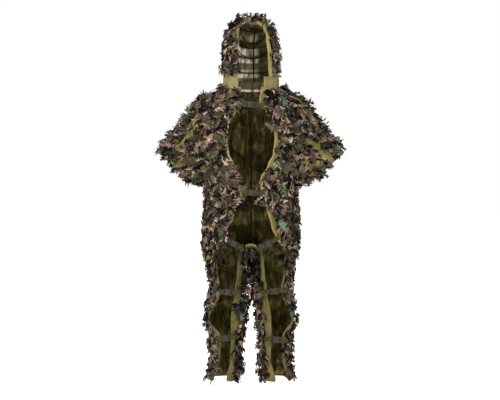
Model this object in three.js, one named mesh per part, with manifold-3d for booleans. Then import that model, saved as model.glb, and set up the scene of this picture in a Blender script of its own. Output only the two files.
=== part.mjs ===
// A camouflage over-suit of net fabric, hung open at the front as it is worn: hood, body, short
// sleeves and two leg gutters, with leaf layers outside and eight buckled straps across the openings.
// Millimetres, +Z up. The wearer faces -Y, so the wearer's left is +X. The origin lies between the
// shoulders, on the line where the suit rests on the wearer.
import * as THREE from "three";
import { mergeVertices } from "three/addons/utils/BufferGeometryUtils.js";
import Module from "manifold-3d";

const wasm = await Module();
wasm.setup();

// Driving dimensions.
const FABRIC = 3; // net fabric with its rolled seams
const LEAF_START = 3.6; // the leaf layer lies just off the fabric
const LEAF_END = 19;
const LEAF_MARGIN = 30; // bare fabric beside the front opening
const ARMHOLE_MARGIN = 24;
const SEAM_GAP = 0.4;
const HEM_RADIUS = 4.5;
const HEM_OFFSET = HEM_RADIUS + 3.2; // from the fabric's edge to the middle of its rolled hem
const HEM_SIDES = 5;
const TAPE_THICKNESS = 1.6;

const HOOD_BOTTOM = 102;
const HOOD_ARCH_TOP = 366; // highest point of the face opening
const COLLAR_TOP = 98;
const TORSO_TOP = 52;
const TORSO_BOTTOM = -695;
const LEG_BOTTOM = -1331;
const LEG_CENTRE_Y = 10;

const ARMHOLE_TOP = new THREE.Vector2(182, 24);
const ARMHOLE_BOTTOM = new THREE.Vector2(195, -405);
const ARMHOLE_HALF_DEPTH = 105;
// The sleeve's upper and lower outlines, from the armhole to the hem: [x, z].
const SLEEVE_TOP = [[182, 20], [224, 16], [262, -30], [318, -102], [382, -177], [444, -252]];
const SLEEVE_UNDER = [[195, -400], [260, -382], [324, -355]];
const SLEEVE_HEM_HALF_DEPTH = 62;

const WEBBING_WIDTH = 20;
const BAR_RADIUS = 2;
const BUCKLE_WIDTH = 28;
const BUCKLE_THICKNESS = 9;
const SOCKET_BACK = -13; // along the strap, from the closed buckle's middle
const SOCKET_MOUTH = 11;
const SOCKET_BAR = -19.5;
const CLIP_BACK = 17;
const CLIP_BAR = 23.5;
const STRAP_RISE = 17; // from the fabric's edge out to the strap that crosses its hem

const COLOURS = {
  net: 0x6e6640,
  lining: 0x2b2710,
  hem: 0x9a905c,
  leaves: 0x5c5540,
  webbing: 0x4c4f2e,
  plastic: 0x4a4338,
};

const { smoothstep, lerp, clamp, degToRad } = THREE.MathUtils;

// A smooth value along a height, from [height, value] stations listed from the top down.
function profile(stations) {
  return (height) => {
    const below = stations.findIndex(([level]) => level <= height);
    if (below === 0) return stations[0][1];
    if (below < 0) return stations.at(-1)[1];
    const [upper, upperValue] = stations[below - 1];
    const [lower, lowerValue] = stations[below];
    return lerp(lowerValue, upperValue, smoothstep(height, lower, upper));
  };
}

// Column angles from one edge to the other: the first and last columns are the edges' bare margins,
// and `inner` columns share the rest.
function columnAngles(from, to, firstMargin, lastMargin, inner) {
  const start = from + firstMargin;
  const end = to - lastMargin;
  const middle = Array.from({ length: inner + 1 }, (_, j) => lerp(start, end, j / inner));
  return [from, ...middle, to];
}

// A row of points at one height. Angle 0 faces forward and 90 degrees points to +X, so a growing
// angle runs anticlockwise from above.
function ellipseRow(height, { a, front, back, cx = 0, cy = 0 }, angles) {
  return angles.map((angle) => {
    const depth = Math.cos(angle) > 0 ? front : back;
    return new THREE.Vector3(cx + a * Math.sin(angle), cy - depth * Math.cos(angle), height);
  });
}

// Rows of points, listed downward, with each point's outward normal.
function grid(rows, wrap = false) {
  const columns = rows[0].length;
  let previous = new THREE.Vector3(0, 0, 1);
  return rows.map((row, i) =>
    row.map((point, j) => {
      const left = wrap ? (j + columns - 1) % columns : Math.max(j - 1, 0);
      const right = wrap ? (j + 1) % columns : Math.min(j + 1, columns - 1);
      const above = rows[Math.max(i - 1, 0)][j];
      const down = rows[Math.min(i + 1, rows.length - 1)][j].clone().sub(above);
      const normal = down.cross(row[right].clone().sub(row[left]));
      if (normal.length() > 1e-6) previous = normal.normalize();
      return { point, normal: previous.clone() };
    }),
  );
}

// A closed slab that follows a grid, from `inner` to `outer` along its normals. Its quads are split
// the same way on both faces, and mirrored on the -X side, so that stacked slabs stay clear.
function slab(cells, inner, outer, wrap = false) {
  const columns = cells[0].length;
  const lastRow = cells.length - 1;
  const layer = cells.length * columns;
  const positions = [inner, outer].flatMap((offset) =>
    cells.flat().flatMap(({ point, normal }) => point.clone().addScaledVector(normal, offset).toArray()),
  );
  const index = [];
  const quad = (a, b, c, d) => index.push(a, b, c, a, c, d);
  const at = (i, j) => i * columns + (j % columns);
  const spans = wrap ? columns : columns - 1;
  for (let i = 0; i < lastRow; i++) {
    for (let j = 0; j < spans; j++) {
      const corners = [at(i, j), at(i + 1, j), at(i + 1, j + 1), at(i, j + 1)];
      if (cells[i][j].point.x + cells[i + 1][j].point.x < -1) corners.push(corners.shift());
      const [a, b, c, d] = corners;
      quad(a + layer, b + layer, c + layer, d + layer);
      quad(a, d, c, b);
    }
  }
  const wall = (from, to) => quad(from, to, to + layer, from + layer);
  for (let j = 0; j < spans; j++) {
    wall(at(0, j + 1), at(0, j));
    wall(at(lastRow, j), at(lastRow, j + 1));
  }
  for (let i = 0; i < lastRow && !wrap; i++) {
    wall(at(i, 0), at(i + 1, 0));
    wall(at(i + 1, spans), at(i, spans));
  }
  const geometry = new THREE.BufferGeometry();
  geometry.setAttribute("position", new THREE.Float32BufferAttribute(positions, 3));
  geometry.setIndex(index);
  return geometry;
}

const fabric = (cells, wrap) => slab(cells, 0, FABRIC, wrap);
const leafLayer = (cells, wrap) => slab(cells, LEAF_START, LEAF_END, wrap);
const withoutEdges = (cells) => cells.slice(1, -1).map((row) => row.slice(1, -1));

// A rolled hem beside a run of edge cells. `side` is 1 where the fabric lies to the left of the run,
// seen from outside, and -1 where it lies to the right.
function hem(edge, side, steps) {
  const away = edge.slice(1).map((cell, i) => {
    const along = cell.point.clone().sub(edge[i].point);
    return along.cross(edge[i].normal).multiplyScalar(side).normalize();
  });
  const path = edge.map(({ point, normal }, i) => {
    const before = away[Math.max(i - 1, 0)];
    const after = away[Math.min(i, away.length - 1)];
    const bisector = before.clone().add(after).normalize();
    const reach = HEM_OFFSET / Math.max(bisector.dot(after), 0.5);
    return point.clone().addScaledVector(bisector, reach).addScaledVector(normal, FABRIC / 2);
  });
  const section = new THREE.Shape(
    Array.from({ length: HEM_SIDES }, (_, k) => {
      const angle = (2 * Math.PI * k) / HEM_SIDES;
      return new THREE.Vector2(HEM_RADIUS * Math.cos(angle), HEM_RADIUS * Math.sin(angle));
    }),
  );
  const extrudePath = new THREE.CatmullRomCurve3(path, false, "centripetal");
  return new THREE.ExtrudeGeometry(section, { steps, bevelEnabled: false, extrudePath });
}

const firstColumn = (cells) => cells.map((row) => row[0]);
const lastColumn = (cells) => cells.map((row) => row.at(-1));

function solidOf(geometry) {
  const bare = geometry.clone();
  bare.deleteAttribute("normal");
  bare.deleteAttribute("uv");
  const merged = mergeVertices(bare, 1e-3);
  const vertProperties = merged.attributes.position.array;
  const triVerts = new Uint32Array(merged.index.array);
  return new wasm.Manifold(new wasm.Mesh({ numProp: 3, vertProperties, triVerts }));
}

function geometryOf(solid) {
  const { vertProperties, triVerts } = solid.getMesh();
  const geometry = new THREE.BufferGeometry();
  geometry.setAttribute("position", new THREE.BufferAttribute(new Float32Array(vertProperties), 3));
  geometry.setIndex(new THREE.BufferAttribute(new Uint32Array(triVerts), 1));
  return geometry;
}

function joined(geometries) {
  return geometryOf(geometries.map(solidOf).reduce((sum, part) => sum.add(part)));
}

function cut(geometry, tools) {
  return geometryOf(tools.map(solidOf).reduce((rest, tool) => rest.subtract(tool), solidOf(geometry)));
}

// A box between two opposite corners.
function block(a, b) {
  const size = a.map((value, k) => Math.abs(b[k] - value));
  const centre = a.map((value, k) => (value + b[k]) / 2);
  return new THREE.BoxGeometry(...size).translate(...centre);
}

function piece(name, geometry, color, roughness = 0.9) {
  const material = new THREE.MeshStandardMaterial({ color, roughness, metalness: 0 });
  const mesh = new THREE.Mesh(geometry, material);
  mesh.name = name;
  return mesh;
}

// ---- Torso ----

const bodySide = profile([
  [52, 136], [42, 160], [24, 178], [-2, 182], [-405, 195], [-450, 200], [-640, 213], [-695, 214],
]);
const torsoBack = profile([[52, 112], [-120, 128], [-300, 130], [-450, 122], [-600, 136], [-695, 138]]);
const torsoFront = profile([[52, 102], [-120, 120], [-300, 130], [-450, 125], [-600, 131], [-695, 132]]);
// Half-width of the front opening between the fabric's edges: a diamond at the chest, closed at the
// waist, and a wider one over the hips.
const frontOpening = profile([
  [52, 56], [-20, 44], [-60, 76], [-120, 110], [-190, 118], [-264, 109], [-315, 85], [-384, 49],
  [-440, 26], [-470, 38], [-510, 80], [-600, 101], [-650, 122], [-695, 150],
]);
const TORSO_LEVELS = [
  TORSO_TOP, 41, 24, -20, -70, -125, -190, -264, -315, -365, -405, -440, -470, -510, -560, -610, -650,
  TORSO_BOTTOM,
];

function armholeDepth(height) {
  const middle = (ARMHOLE_TOP.y + ARMHOLE_BOTTOM.y) / 2;
  const half = (ARMHOLE_TOP.y - ARMHOLE_BOTTOM.y) / 2;
  const share = (height - middle) / half;
  return Math.abs(share) < 1 ? ARMHOLE_HALF_DEPTH * Math.sqrt(1 - share * share) : 0;
}

// The x of the side line, which is straight along the armhole.
function torsoSide(height) {
  const share = (ARMHOLE_TOP.y - height) / (ARMHOLE_TOP.y - ARMHOLE_BOTTOM.y);
  const onArmhole = share > 0 && share < 1;
  return onArmhole ? lerp(ARMHOLE_TOP.x, ARMHOLE_BOTTOM.x, share) : bodySide(height);
}

// The half-width of the ellipse at a height, the angle at which it ends at the side seam or at the
// armhole, and the bare margin there.
function torsoSection(height, depth) {
  const share = Math.min(armholeDepth(height) / depth, 0.95);
  const a = torsoSide(height) / Math.sqrt(1 - share * share);
  const sideAngle = Math.PI / 2 - Math.asin(share) - SEAM_GAP / depth;
  const nearArmhole = height > ARMHOLE_BOTTOM.y - 10;
  const sideMargin = (nearArmhole ? ARMHOLE_MARGIN : 5) / a;
  return { a, sideAngle, sideMargin };
}

function frontPanelRow(height) {
  const depth = torsoFront(height);
  const { a, sideAngle, sideMargin } = torsoSection(height, depth);
  const from = Math.asin(frontOpening(height) / a);
  const mostMargin = (sideAngle - from) / 4;
  const firstMargin = Math.min(LEAF_MARGIN / a, mostMargin);
  const lastMargin = Math.min(sideMargin, mostMargin);
  const angles = columnAngles(from, sideAngle, firstMargin, lastMargin, 2);
  return ellipseRow(height, { a, front: depth, back: depth }, angles);
}

function backPanelRow(height) {
  const depth = torsoBack(height);
  const { a, sideAngle, sideMargin } = torsoSection(height, depth);
  const angles = columnAngles(Math.PI - sideAngle, Math.PI + sideAngle, sideMargin, sideMargin, 6);
  return ellipseRow(height, { a, front: depth, back: depth }, angles);
}

function backPanel() {
  const cells = grid(TORSO_LEVELS.map(backPanelRow));
  const tape = TORSO_LEVELS.slice(4).map((height) => {
    const depth = torsoBack(height) - 2 * TAPE_THICKNESS;
    const halfAngle = 6 / torsoSide(height);
    const section = { a: torsoSide(height), front: depth, back: depth };
    return ellipseRow(height, section, [Math.PI - halfAngle, Math.PI + halfAngle]);
  });
  return [
    piece("back_panel", fabric(cells), COLOURS.net),
    piece("back_leaf_cover", leafLayer(withoutEdges(cells)), COLOURS.leaves),
    piece("back_seam_tape", slab(grid(tape), 0, TAPE_THICKNESS), COLOURS.lining),
  ];
}

function leftFront() {
  const cells = grid(TORSO_LEVELS.map(frontPanelRow));
  return [
    piece("front_panel", fabric(cells), COLOURS.net),
    piece("front_hem", hem(firstColumn(cells), 1, 26), COLOURS.hem),
    piece("front_leaf_cover", leafLayer(withoutEdges(cells)), COLOURS.leaves),
  ];
}

// The seat's continuation between the legs, from the back panel forward to the crotch arch.
function crotchGusset() {
  const halfWidth = 26;
  const crown = 7;
  const start = torsoBack(TORSO_BOTTOM) - 8;
  const end = -84;
  const steps = 7;
  const rows = Array.from({ length: steps + 1 }, (_, i) => {
    const share = i / steps;
    const y = lerp(start, end, share);
    const z = TORSO_BOTTOM - 1 - 22 * Math.sin(Math.PI * share * 0.96) + 5 * share ** 2;
    return [-1, -0.4, 0.4, 1].map((side) => {
      return new THREE.Vector3(side * halfWidth, y, z + crown * (1 - side * side));
    });
  });
  return piece("crotch_gusset", fabric(grid(rows)), COLOURS.net);
}

// ---- Hood and collar ----

const hoodWidth = profile([
  [384, 2], [379, 36], [368, 62], [355, 80], [325, 101], [280, 115], [200, 120], [102, 131],
]);
const hoodFront = profile([
  [384, 62], [379, 92], [368, 106], [355, 111], [325, 114], [250, 116], [102, 104],
]);
const hoodBack = profile([
  [384, 18], [379, 44], [368, 68], [355, 88], [325, 110], [250, 126], [150, 122], [102, 116],
]);
const faceOpening = profile([
  [HOOD_ARCH_TOP, 0], [359, 26], [350, 44], [334, 64], [300, 78], [200, 87], [102, 92],
]);
const HOOD_LEVELS = [384, 379, 373, HOOD_ARCH_TOP, 359, 350, 334, 310, 280, 235, 185, 140, HOOD_BOTTOM];

function hoodHalf() {
  const rows = HOOD_LEVELS.map((height) => {
    const a = hoodWidth(height);
    const seam = SEAM_GAP / Math.max(a, 10);
    const from = Math.max(Math.asin(faceOpening(height) / a), seam);
    const firstMargin = height > HOOD_ARCH_TOP ? 0.02 : 15 / a;
    const angles = columnAngles(from, Math.PI - seam, firstMargin, 0.01, 4);
    return ellipseRow(height, { a, front: hoodFront(height), back: hoodBack(height) }, angles);
  });
  return grid(rows);
}

const mirroredX = ({ x, y, z }) => new THREE.Vector3(-x, y, z);
const mirroredCell = ({ point, normal }) => ({ point: mirroredX(point), normal: mirroredX(normal) });

// Black tape of the hood's centre seam with the elastic rows sewn across it, inside the hood.
function hoodRowTape() {
  const offset = 8;
  const row = (height, sectionHeight, angles) => {
    const a = hoodWidth(sectionHeight) - offset;
    const back = hoodBack(sectionHeight) - offset;
    return ellipseRow(height, { a, front: back, back }, angles);
  };
  const spineLevels = [340, 315, 280, 240, 185, 140, HOOD_BOTTOM + 4];
  const spine = spineLevels.map((height) => row(height, height, [Math.PI - 0.04, Math.PI + 0.04]));
  const rowAngles = columnAngles(Math.PI - 1.1, Math.PI + 1.1, 0.3, 0.3, 4);
  const elastics = [320, 272, 240, 197, 130].map((level) => {
    const rows = [level + 3, level - 3].map((height) => row(height, level, rowAngles));
    return slab(grid(rows), -0.2, TAPE_THICKNESS + 0.2);
  });
  return joined([slab(grid(spine), 0, TAPE_THICKNESS), ...elastics]);
}

function hood() {
  const group = new THREE.Group();
  const half = hoodHalf();
  const right = new THREE.Group();
  right.scale.x = -1;
  right.add(piece("hood_right_panel", fabric(half), COLOURS.net));
  const leftEdge = firstColumn(half).filter(({ point }) => point.z <= HOOD_ARCH_TOP);
  const faceEdge = [...leftEdge.toReversed(), ...leftEdge.slice(1).map(mirroredCell)];
  const bothHalves = half.map((row) => {
    const side = row.slice(1);
    return [...side, ...side.map(mirroredCell).reverse()];
  });
  group.add(
    piece("hood_left_panel", fabric(half), COLOURS.net),
    right,
    piece("hood_hem", hem(faceEdge, -1, 32), COLOURS.hem),
    piece("hood_leaf_cover", leafLayer(bothHalves.slice(1, -1)), COLOURS.leaves),
    piece("hood_row_tape", hoodRowTape(), COLOURS.lining),
  );
  return group;
}

function collar() {
  const edge = degToRad(27);
  const angles = columnAngles(edge, 2 * Math.PI - edge, 0.2, 0.2, 10);
  const section = { a: 132, front: 103, back: 114 };
  const rows = [COLLAR_TOP, TORSO_TOP + 4].map((height) => ellipseRow(height, section, angles));
  return piece("collar_band", fabric(grid(rows)), COLOURS.hem);
}

// ---- Left sleeve ----

const splineOf = (points) => new THREE.SplineCurve(points.map(([x, z]) => new THREE.Vector2(x, z)));
const sleeveTop = splineOf(SLEEVE_TOP);
const sleeveUnder = splineOf(SLEEVE_UNDER);

// One ring of the sleeve, a share of the way from the armhole to the hem.
function sleeveRing(share) {
  const columns = 12;
  const top = sleeveTop.getPoint(share);
  const under = sleeveUnder.getPoint(share);
  const halfDepth = lerp(ARMHOLE_HALF_DEPTH - 3, SLEEVE_HEM_HALF_DEPTH, share);
  return Array.from({ length: columns }, (_, j) => {
    const turn = (2 * Math.PI * j) / columns;
    const { x, y: z } = top.clone().lerp(under, (1 - Math.cos(turn)) / 2);
    return new THREE.Vector3(x, halfDepth * Math.sin(turn), z);
  });
}

function leftSleeve() {
  const cells = grid([0.06, 0.19, 0.42, 0.66, 0.88, 0.94].map(sleeveRing), true);
  const hemCells = grid([0.95, 1].map(sleeveRing), true);
  return [
    piece("sleeve", fabric(cells, true), COLOURS.net),
    piece("sleeve_hem", slab(hemCells, -1, FABRIC + 1.5, true), COLOURS.hem),
    piece("sleeve_leaf_cover", leafLayer(cells.slice(1, -1), true), COLOURS.leaves),
  ];
}

// ---- Left leg: a gutter from its outer edge round the back to its inner edge ----

const legCentre = profile([[-700, 113], [-900, 115], [-1046, 125], [-1128, 120], [-1224, 120], [-1345, 130]]);
const legWidth = profile([
  [-700, 76], [-816, 76], [-902, 66], [-1046, 80], [-1128, 62], [-1224, 60], [-1345, 68],
]);
const legDepth = profile([
  [-700, 84], [-816, 86], [-902, 80], [-1046, 86], [-1128, 72], [-1224, 68], [-1345, 78],
]);
const legInner = profile([[-700, 52], [-816, 60], [-902, 70], [-1046, 88], [-1224, 88], [-1345, 112]]);
const legOuter = profile([
  [-700, 172], [-816, 163], [-902, 149], [-1046, 199], [-1128, 152], [-1224, 153], [-1345, 180],
]);
const LEG_LEVELS = [-700, -748, -816, -902, -975, -1046, -1128, -1224, -1290, -1319, LEG_BOTTOM];

function legRow(height) {
  const a = legWidth(height);
  const depth = legDepth(height);
  const cx = legCentre(height);
  const edgeAngle = (x) => Math.asin(clamp((x - cx) / a, -0.97, 0.97));
  const from = edgeAngle(legOuter(height));
  const to = 2 * Math.PI + edgeAngle(legInner(height));
  const section = { a, front: depth, back: depth, cx, cy: LEG_CENTRE_Y };
  return ellipseRow(height, section, columnAngles(from, to, 0.14, 0.14, 7));
}

function leftLeg() {
  const cells = grid(LEG_LEVELS.map(legRow));
  const hemmed = [...cells.slice(1, -2), cells.at(-1)];
  const edge = [
    ...firstColumn(hemmed),
    ...cells.at(-1).slice(2, -2),
    ...lastColumn(hemmed).reverse(),
  ];
  return [
    piece("leg", fabric(cells), COLOURS.net),
    piece("leg_hem", hem(edge, 1, 44), COLOURS.hem),
    piece("leg_leaf_cover", leafLayer(withoutEdges(cells)), COLOURS.leaves),
  ];
}

// ---- Straps and buckles ----
// Each strap has its own frame: +X from the socket to the clip, +Z across the webbing's width, and
// -Y outward. The origin is the closed buckle's middle.

function bar(x) {
  const rod = new THREE.CylinderGeometry(BAR_RADIUS, BAR_RADIUS, BUCKLE_WIDTH - 2, 6);
  return rod.rotateX(Math.PI / 2).translate(x, 0, 0);
}

function rails(from, to) {
  const innerZ = WEBBING_WIDTH / 2 + 0.6;
  const outerZ = BUCKLE_WIDTH / 2;
  return [1, -1].map((side) => block([from, -3, side * innerZ], [to, 3, side * outerZ]));
}

function socketGeometry() {
  const halfWidth = BUCKLE_WIDTH / 2;
  const halfThickness = BUCKLE_THICKNESS / 2;
  const body = block([SOCKET_BACK, -halfThickness, -halfWidth], [SOCKET_MOUTH, halfThickness, halfWidth]);
  const cavity = block([-8.5, -2.9, -11.4], [SOCKET_MOUTH + 1, 2.9, 11.4]);
  const windows = [1, -1].map((side) => block([-4, -2.2, side * 10], [4, 2.2, side * 15]));
  const shell = cut(body, [cavity, ...windows]);
  return joined([shell, ...rails(SOCKET_BAR - 2, SOCKET_BACK + 1), bar(SOCKET_BAR)]);
}

function clipGeometry() {
  const halfWidth = BUCKLE_WIDTH / 2;
  const halfThickness = BUCKLE_THICKNESS / 2;
  const front = SOCKET_MOUTH + 0.6;
  const shoulder = block([front, -halfThickness, -halfWidth], [CLIP_BACK, halfThickness, halfWidth]);
  const guide = block([-6, -2.3, -2.4], [front + 1, 2.3, 2.4]);
  const prongs = [1, -1].flatMap((side) => [
    block([-6, -2.3, side * 7.4], [front + 1, 2.3, side * 9.8]),
    block([-7, -2.3, side * 7.8], [1, 2.3, side * 11]),
  ]);
  return joined([shoulder, guide, ...prongs, ...rails(CLIP_BACK - 1, CLIP_BAR + 2), bar(CLIP_BAR)]);
}

// Webbing folded round a bar at x = 0 and running to -X: one leg `reach` long, the other a short fold.
function webbingGeometry(reach) {
  const fold = 15;
  const inner = BAR_RADIUS + 0.5;
  const outer = inner + TAPE_THICKNESS;
  const outline = new THREE.Shape();
  outline.moveTo(-reach, inner);
  outline.lineTo(-reach, outer);
  outline.lineTo(0, outer);
  outline.absarc(0, 0, outer, Math.PI / 2, -Math.PI / 2, true);
  outline.lineTo(-fold, -outer);
  outline.lineTo(-fold, -inner);
  outline.lineTo(0, -inner);
  outline.absarc(0, 0, inner, -Math.PI / 2, Math.PI / 2, false);
  outline.closePath();
  const solid = { depth: WEBBING_WIDTH, bevelEnabled: false, curveSegments: 3 };
  return new THREE.ExtrudeGeometry(outline, solid).translate(0, 0, -WEBBING_WIDTH / 2);
}

// A strap between its two sewn ends, with its buckle `share` of the way along.
function strap(name, socketEnd, clipEnd, share) {
  const group = new THREE.Group();
  const along = clipEnd.clone().sub(socketEnd);
  const length = along.length();
  const xAxis = along.normalize();
  const zAxis = new THREE.Vector3(0, 0, 1).addScaledVector(xAxis, -xAxis.z).normalize();
  const yAxis = zAxis.clone().cross(xAxis);
  group.setRotationFromMatrix(new THREE.Matrix4().makeBasis(xAxis, yAxis, zAxis));
  group.position.copy(socketEnd).addScaledVector(xAxis, length * share);

  const socketWebbing = webbingGeometry(length * share + SOCKET_BAR).translate(SOCKET_BAR, 0, 0);
  const clipWebbing = webbingGeometry(length * (1 - share) - CLIP_BAR);
  clipWebbing.rotateZ(Math.PI).translate(CLIP_BAR, 0, 0);
  group.add(
    piece(`${name}_socket`, socketGeometry(), COLOURS.plastic, 0.5),
    piece(`${name}_clip`, clipGeometry(), COLOURS.plastic, 0.5),
    piece(`${name}_socket_webbing`, socketWebbing, COLOURS.webbing),
    piece(`${name}_clip_webbing`, clipWebbing, COLOURS.webbing),
  );
  return group;
}

// Straps of the body: [name, socket end, clip end, buckle's share of the way].
const BODY_STRAPS = [
  ["neck", [-62, -122, -28], [62, -122, -36], 0.5],
  ["waist", [-56, -143, -440], [62, -143, -448], 0.49],
  ["right_thigh", [-134, -128, -652], [-30, -94, -712], 0.5],
  ["left_thigh", [134, -128, -652], [30, -94, -712], 0.5],
];

// Straps across the leg's front opening: [name, side, height at the outer end, at the inner end].
const LEG_STRAPS = [
  ["right_knee", -1, -908, -918],
  ["left_knee", 1, -904, -912],
  ["right_calf", -1, -1136, -1126],
  ["left_calf", 1, -1144, -1132],
];

function legStrap(name, side, outerHeight, innerHeight) {
  const overlap = 22; // of each sewn end past the fabric's edge
  const outer = legRow(outerHeight)[0];
  const inner = legRow(innerHeight).at(-1);
  const y = Math.min(outer.y, inner.y) - STRAP_RISE;
  const socketEnd = new THREE.Vector3(side * (outer.x + overlap), y, outerHeight);
  const clipEnd = new THREE.Vector3(side * (inner.x - overlap), y, innerHeight);
  return strap(name, socketEnd, clipEnd, 0.5);
}

// ---- Assembly ----

const suit = new THREE.Group();
suit.add(hood(), collar(), ...backPanel(), crotchGusset());
for (const [side, scale] of [["left", 1], ["right", -1]]) {
  const group = new THREE.Group();
  group.scale.x = scale;
  group.add(...leftFront(), ...leftSleeve(), ...leftLeg());
  for (const mesh of group.children) mesh.name = `${side}_${mesh.name}`;
  suit.add(group);
}
for (const [name, socketEnd, clipEnd, share] of BODY_STRAPS) {
  suit.add(strap(name, new THREE.Vector3(...socketEnd), new THREE.Vector3(...clipEnd), share));
}
for (const leg of LEG_STRAPS) suit.add(legStrap(...leg));

export default suit;
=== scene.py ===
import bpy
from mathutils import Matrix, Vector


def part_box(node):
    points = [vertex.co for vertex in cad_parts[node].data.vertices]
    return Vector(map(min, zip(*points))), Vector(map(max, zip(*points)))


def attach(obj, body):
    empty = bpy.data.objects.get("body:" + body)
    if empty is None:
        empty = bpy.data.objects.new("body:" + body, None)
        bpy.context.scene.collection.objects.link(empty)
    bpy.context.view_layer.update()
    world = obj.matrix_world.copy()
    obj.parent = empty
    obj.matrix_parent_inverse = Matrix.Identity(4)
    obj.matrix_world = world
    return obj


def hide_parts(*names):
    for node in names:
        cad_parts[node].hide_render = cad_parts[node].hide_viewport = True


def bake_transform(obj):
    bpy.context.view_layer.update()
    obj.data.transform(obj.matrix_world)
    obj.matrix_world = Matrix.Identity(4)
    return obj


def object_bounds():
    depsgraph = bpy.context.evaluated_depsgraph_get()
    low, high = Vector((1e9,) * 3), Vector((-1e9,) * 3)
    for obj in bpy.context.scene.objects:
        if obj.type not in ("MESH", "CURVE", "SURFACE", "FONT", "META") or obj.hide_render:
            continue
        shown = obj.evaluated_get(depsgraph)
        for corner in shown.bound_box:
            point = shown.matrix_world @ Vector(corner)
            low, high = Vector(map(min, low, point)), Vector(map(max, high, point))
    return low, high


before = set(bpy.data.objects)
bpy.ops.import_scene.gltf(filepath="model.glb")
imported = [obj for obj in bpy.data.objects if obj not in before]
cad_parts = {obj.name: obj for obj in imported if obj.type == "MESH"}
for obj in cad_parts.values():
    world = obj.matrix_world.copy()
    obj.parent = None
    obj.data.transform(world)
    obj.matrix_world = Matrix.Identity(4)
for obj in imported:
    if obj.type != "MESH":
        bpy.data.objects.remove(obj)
cad_box = [list(corner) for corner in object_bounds()]

import math

import bmesh
import bpy
import numpy as np
from mathutils import Vector
from mathutils.bvhtree import BVHTree

MM = 0.001
TAU = 2 * math.pi

# ---- Camera and light ----

LENS = 67.5
CAMERA_DISTANCE = 4.5
CAMERA_SHIFT = (-0.005, -0.0033)  # from the middle of the suit, in x and z

scene = bpy.context.scene
scene.view_settings.view_transform = "Standard"
suit_low, suit_high = (np.array(corner) for corner in cad_box)


def make_camera():
    data = bpy.data.cameras.new("camera")
    data.lens = LENS
    data.sensor_width = 36
    camera = bpy.data.objects.new("camera", data)
    middle = (suit_low + suit_high) / 2
    camera.location = (middle[0] + CAMERA_SHIFT[0], -CAMERA_DISTANCE, middle[2] + CAMERA_SHIFT[1])
    camera.rotation_euler = (math.pi / 2, 0, 0)
    scene.collection.objects.link(camera)
    scene.camera = camera


def area_light(name, place, target, size, power):
    data = bpy.data.lights.new(name, "AREA")
    data.shape = "DISK"
    data.size = size
    data.energy = power
    lamp = bpy.data.objects.new(name, data)
    lamp.location = place
    lamp.rotation_euler = (Vector(target) - Vector(place)).to_track_quat("-Z", "Y").to_euler()
    scene.collection.objects.link(lamp)


def make_world():
    world = bpy.data.worlds.new("world")
    world.use_nodes = True
    background = world.node_tree.nodes["Background"]
    background.inputs["Color"].default_value = (1, 1, 1, 1)
    background.inputs["Strength"].default_value = 1.0
    scene.world = world


make_camera()
area_light("key", (-2.2, -2.8, 3.0), (0, 0, -0.4), 0.7, 205)
area_light("fill", (2.6, -3.0, 0.6), (0, 0, -0.5), 2.0, 12)
make_world()

# ---- Materials ----

WAVE_SCALE = 0.314  # a band texture's Scale, times the pitch of its bands in metres


def linear(r, g, b):
    """An sRGB colour from 0 to 255, as the linear values that sockets take."""
    def channel(value):
        value /= 255
        return value / 12.92 if value <= 0.04045 else ((value + 0.055) / 1.055) ** 2.4
    return (channel(r), channel(g), channel(b), 1)


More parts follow.
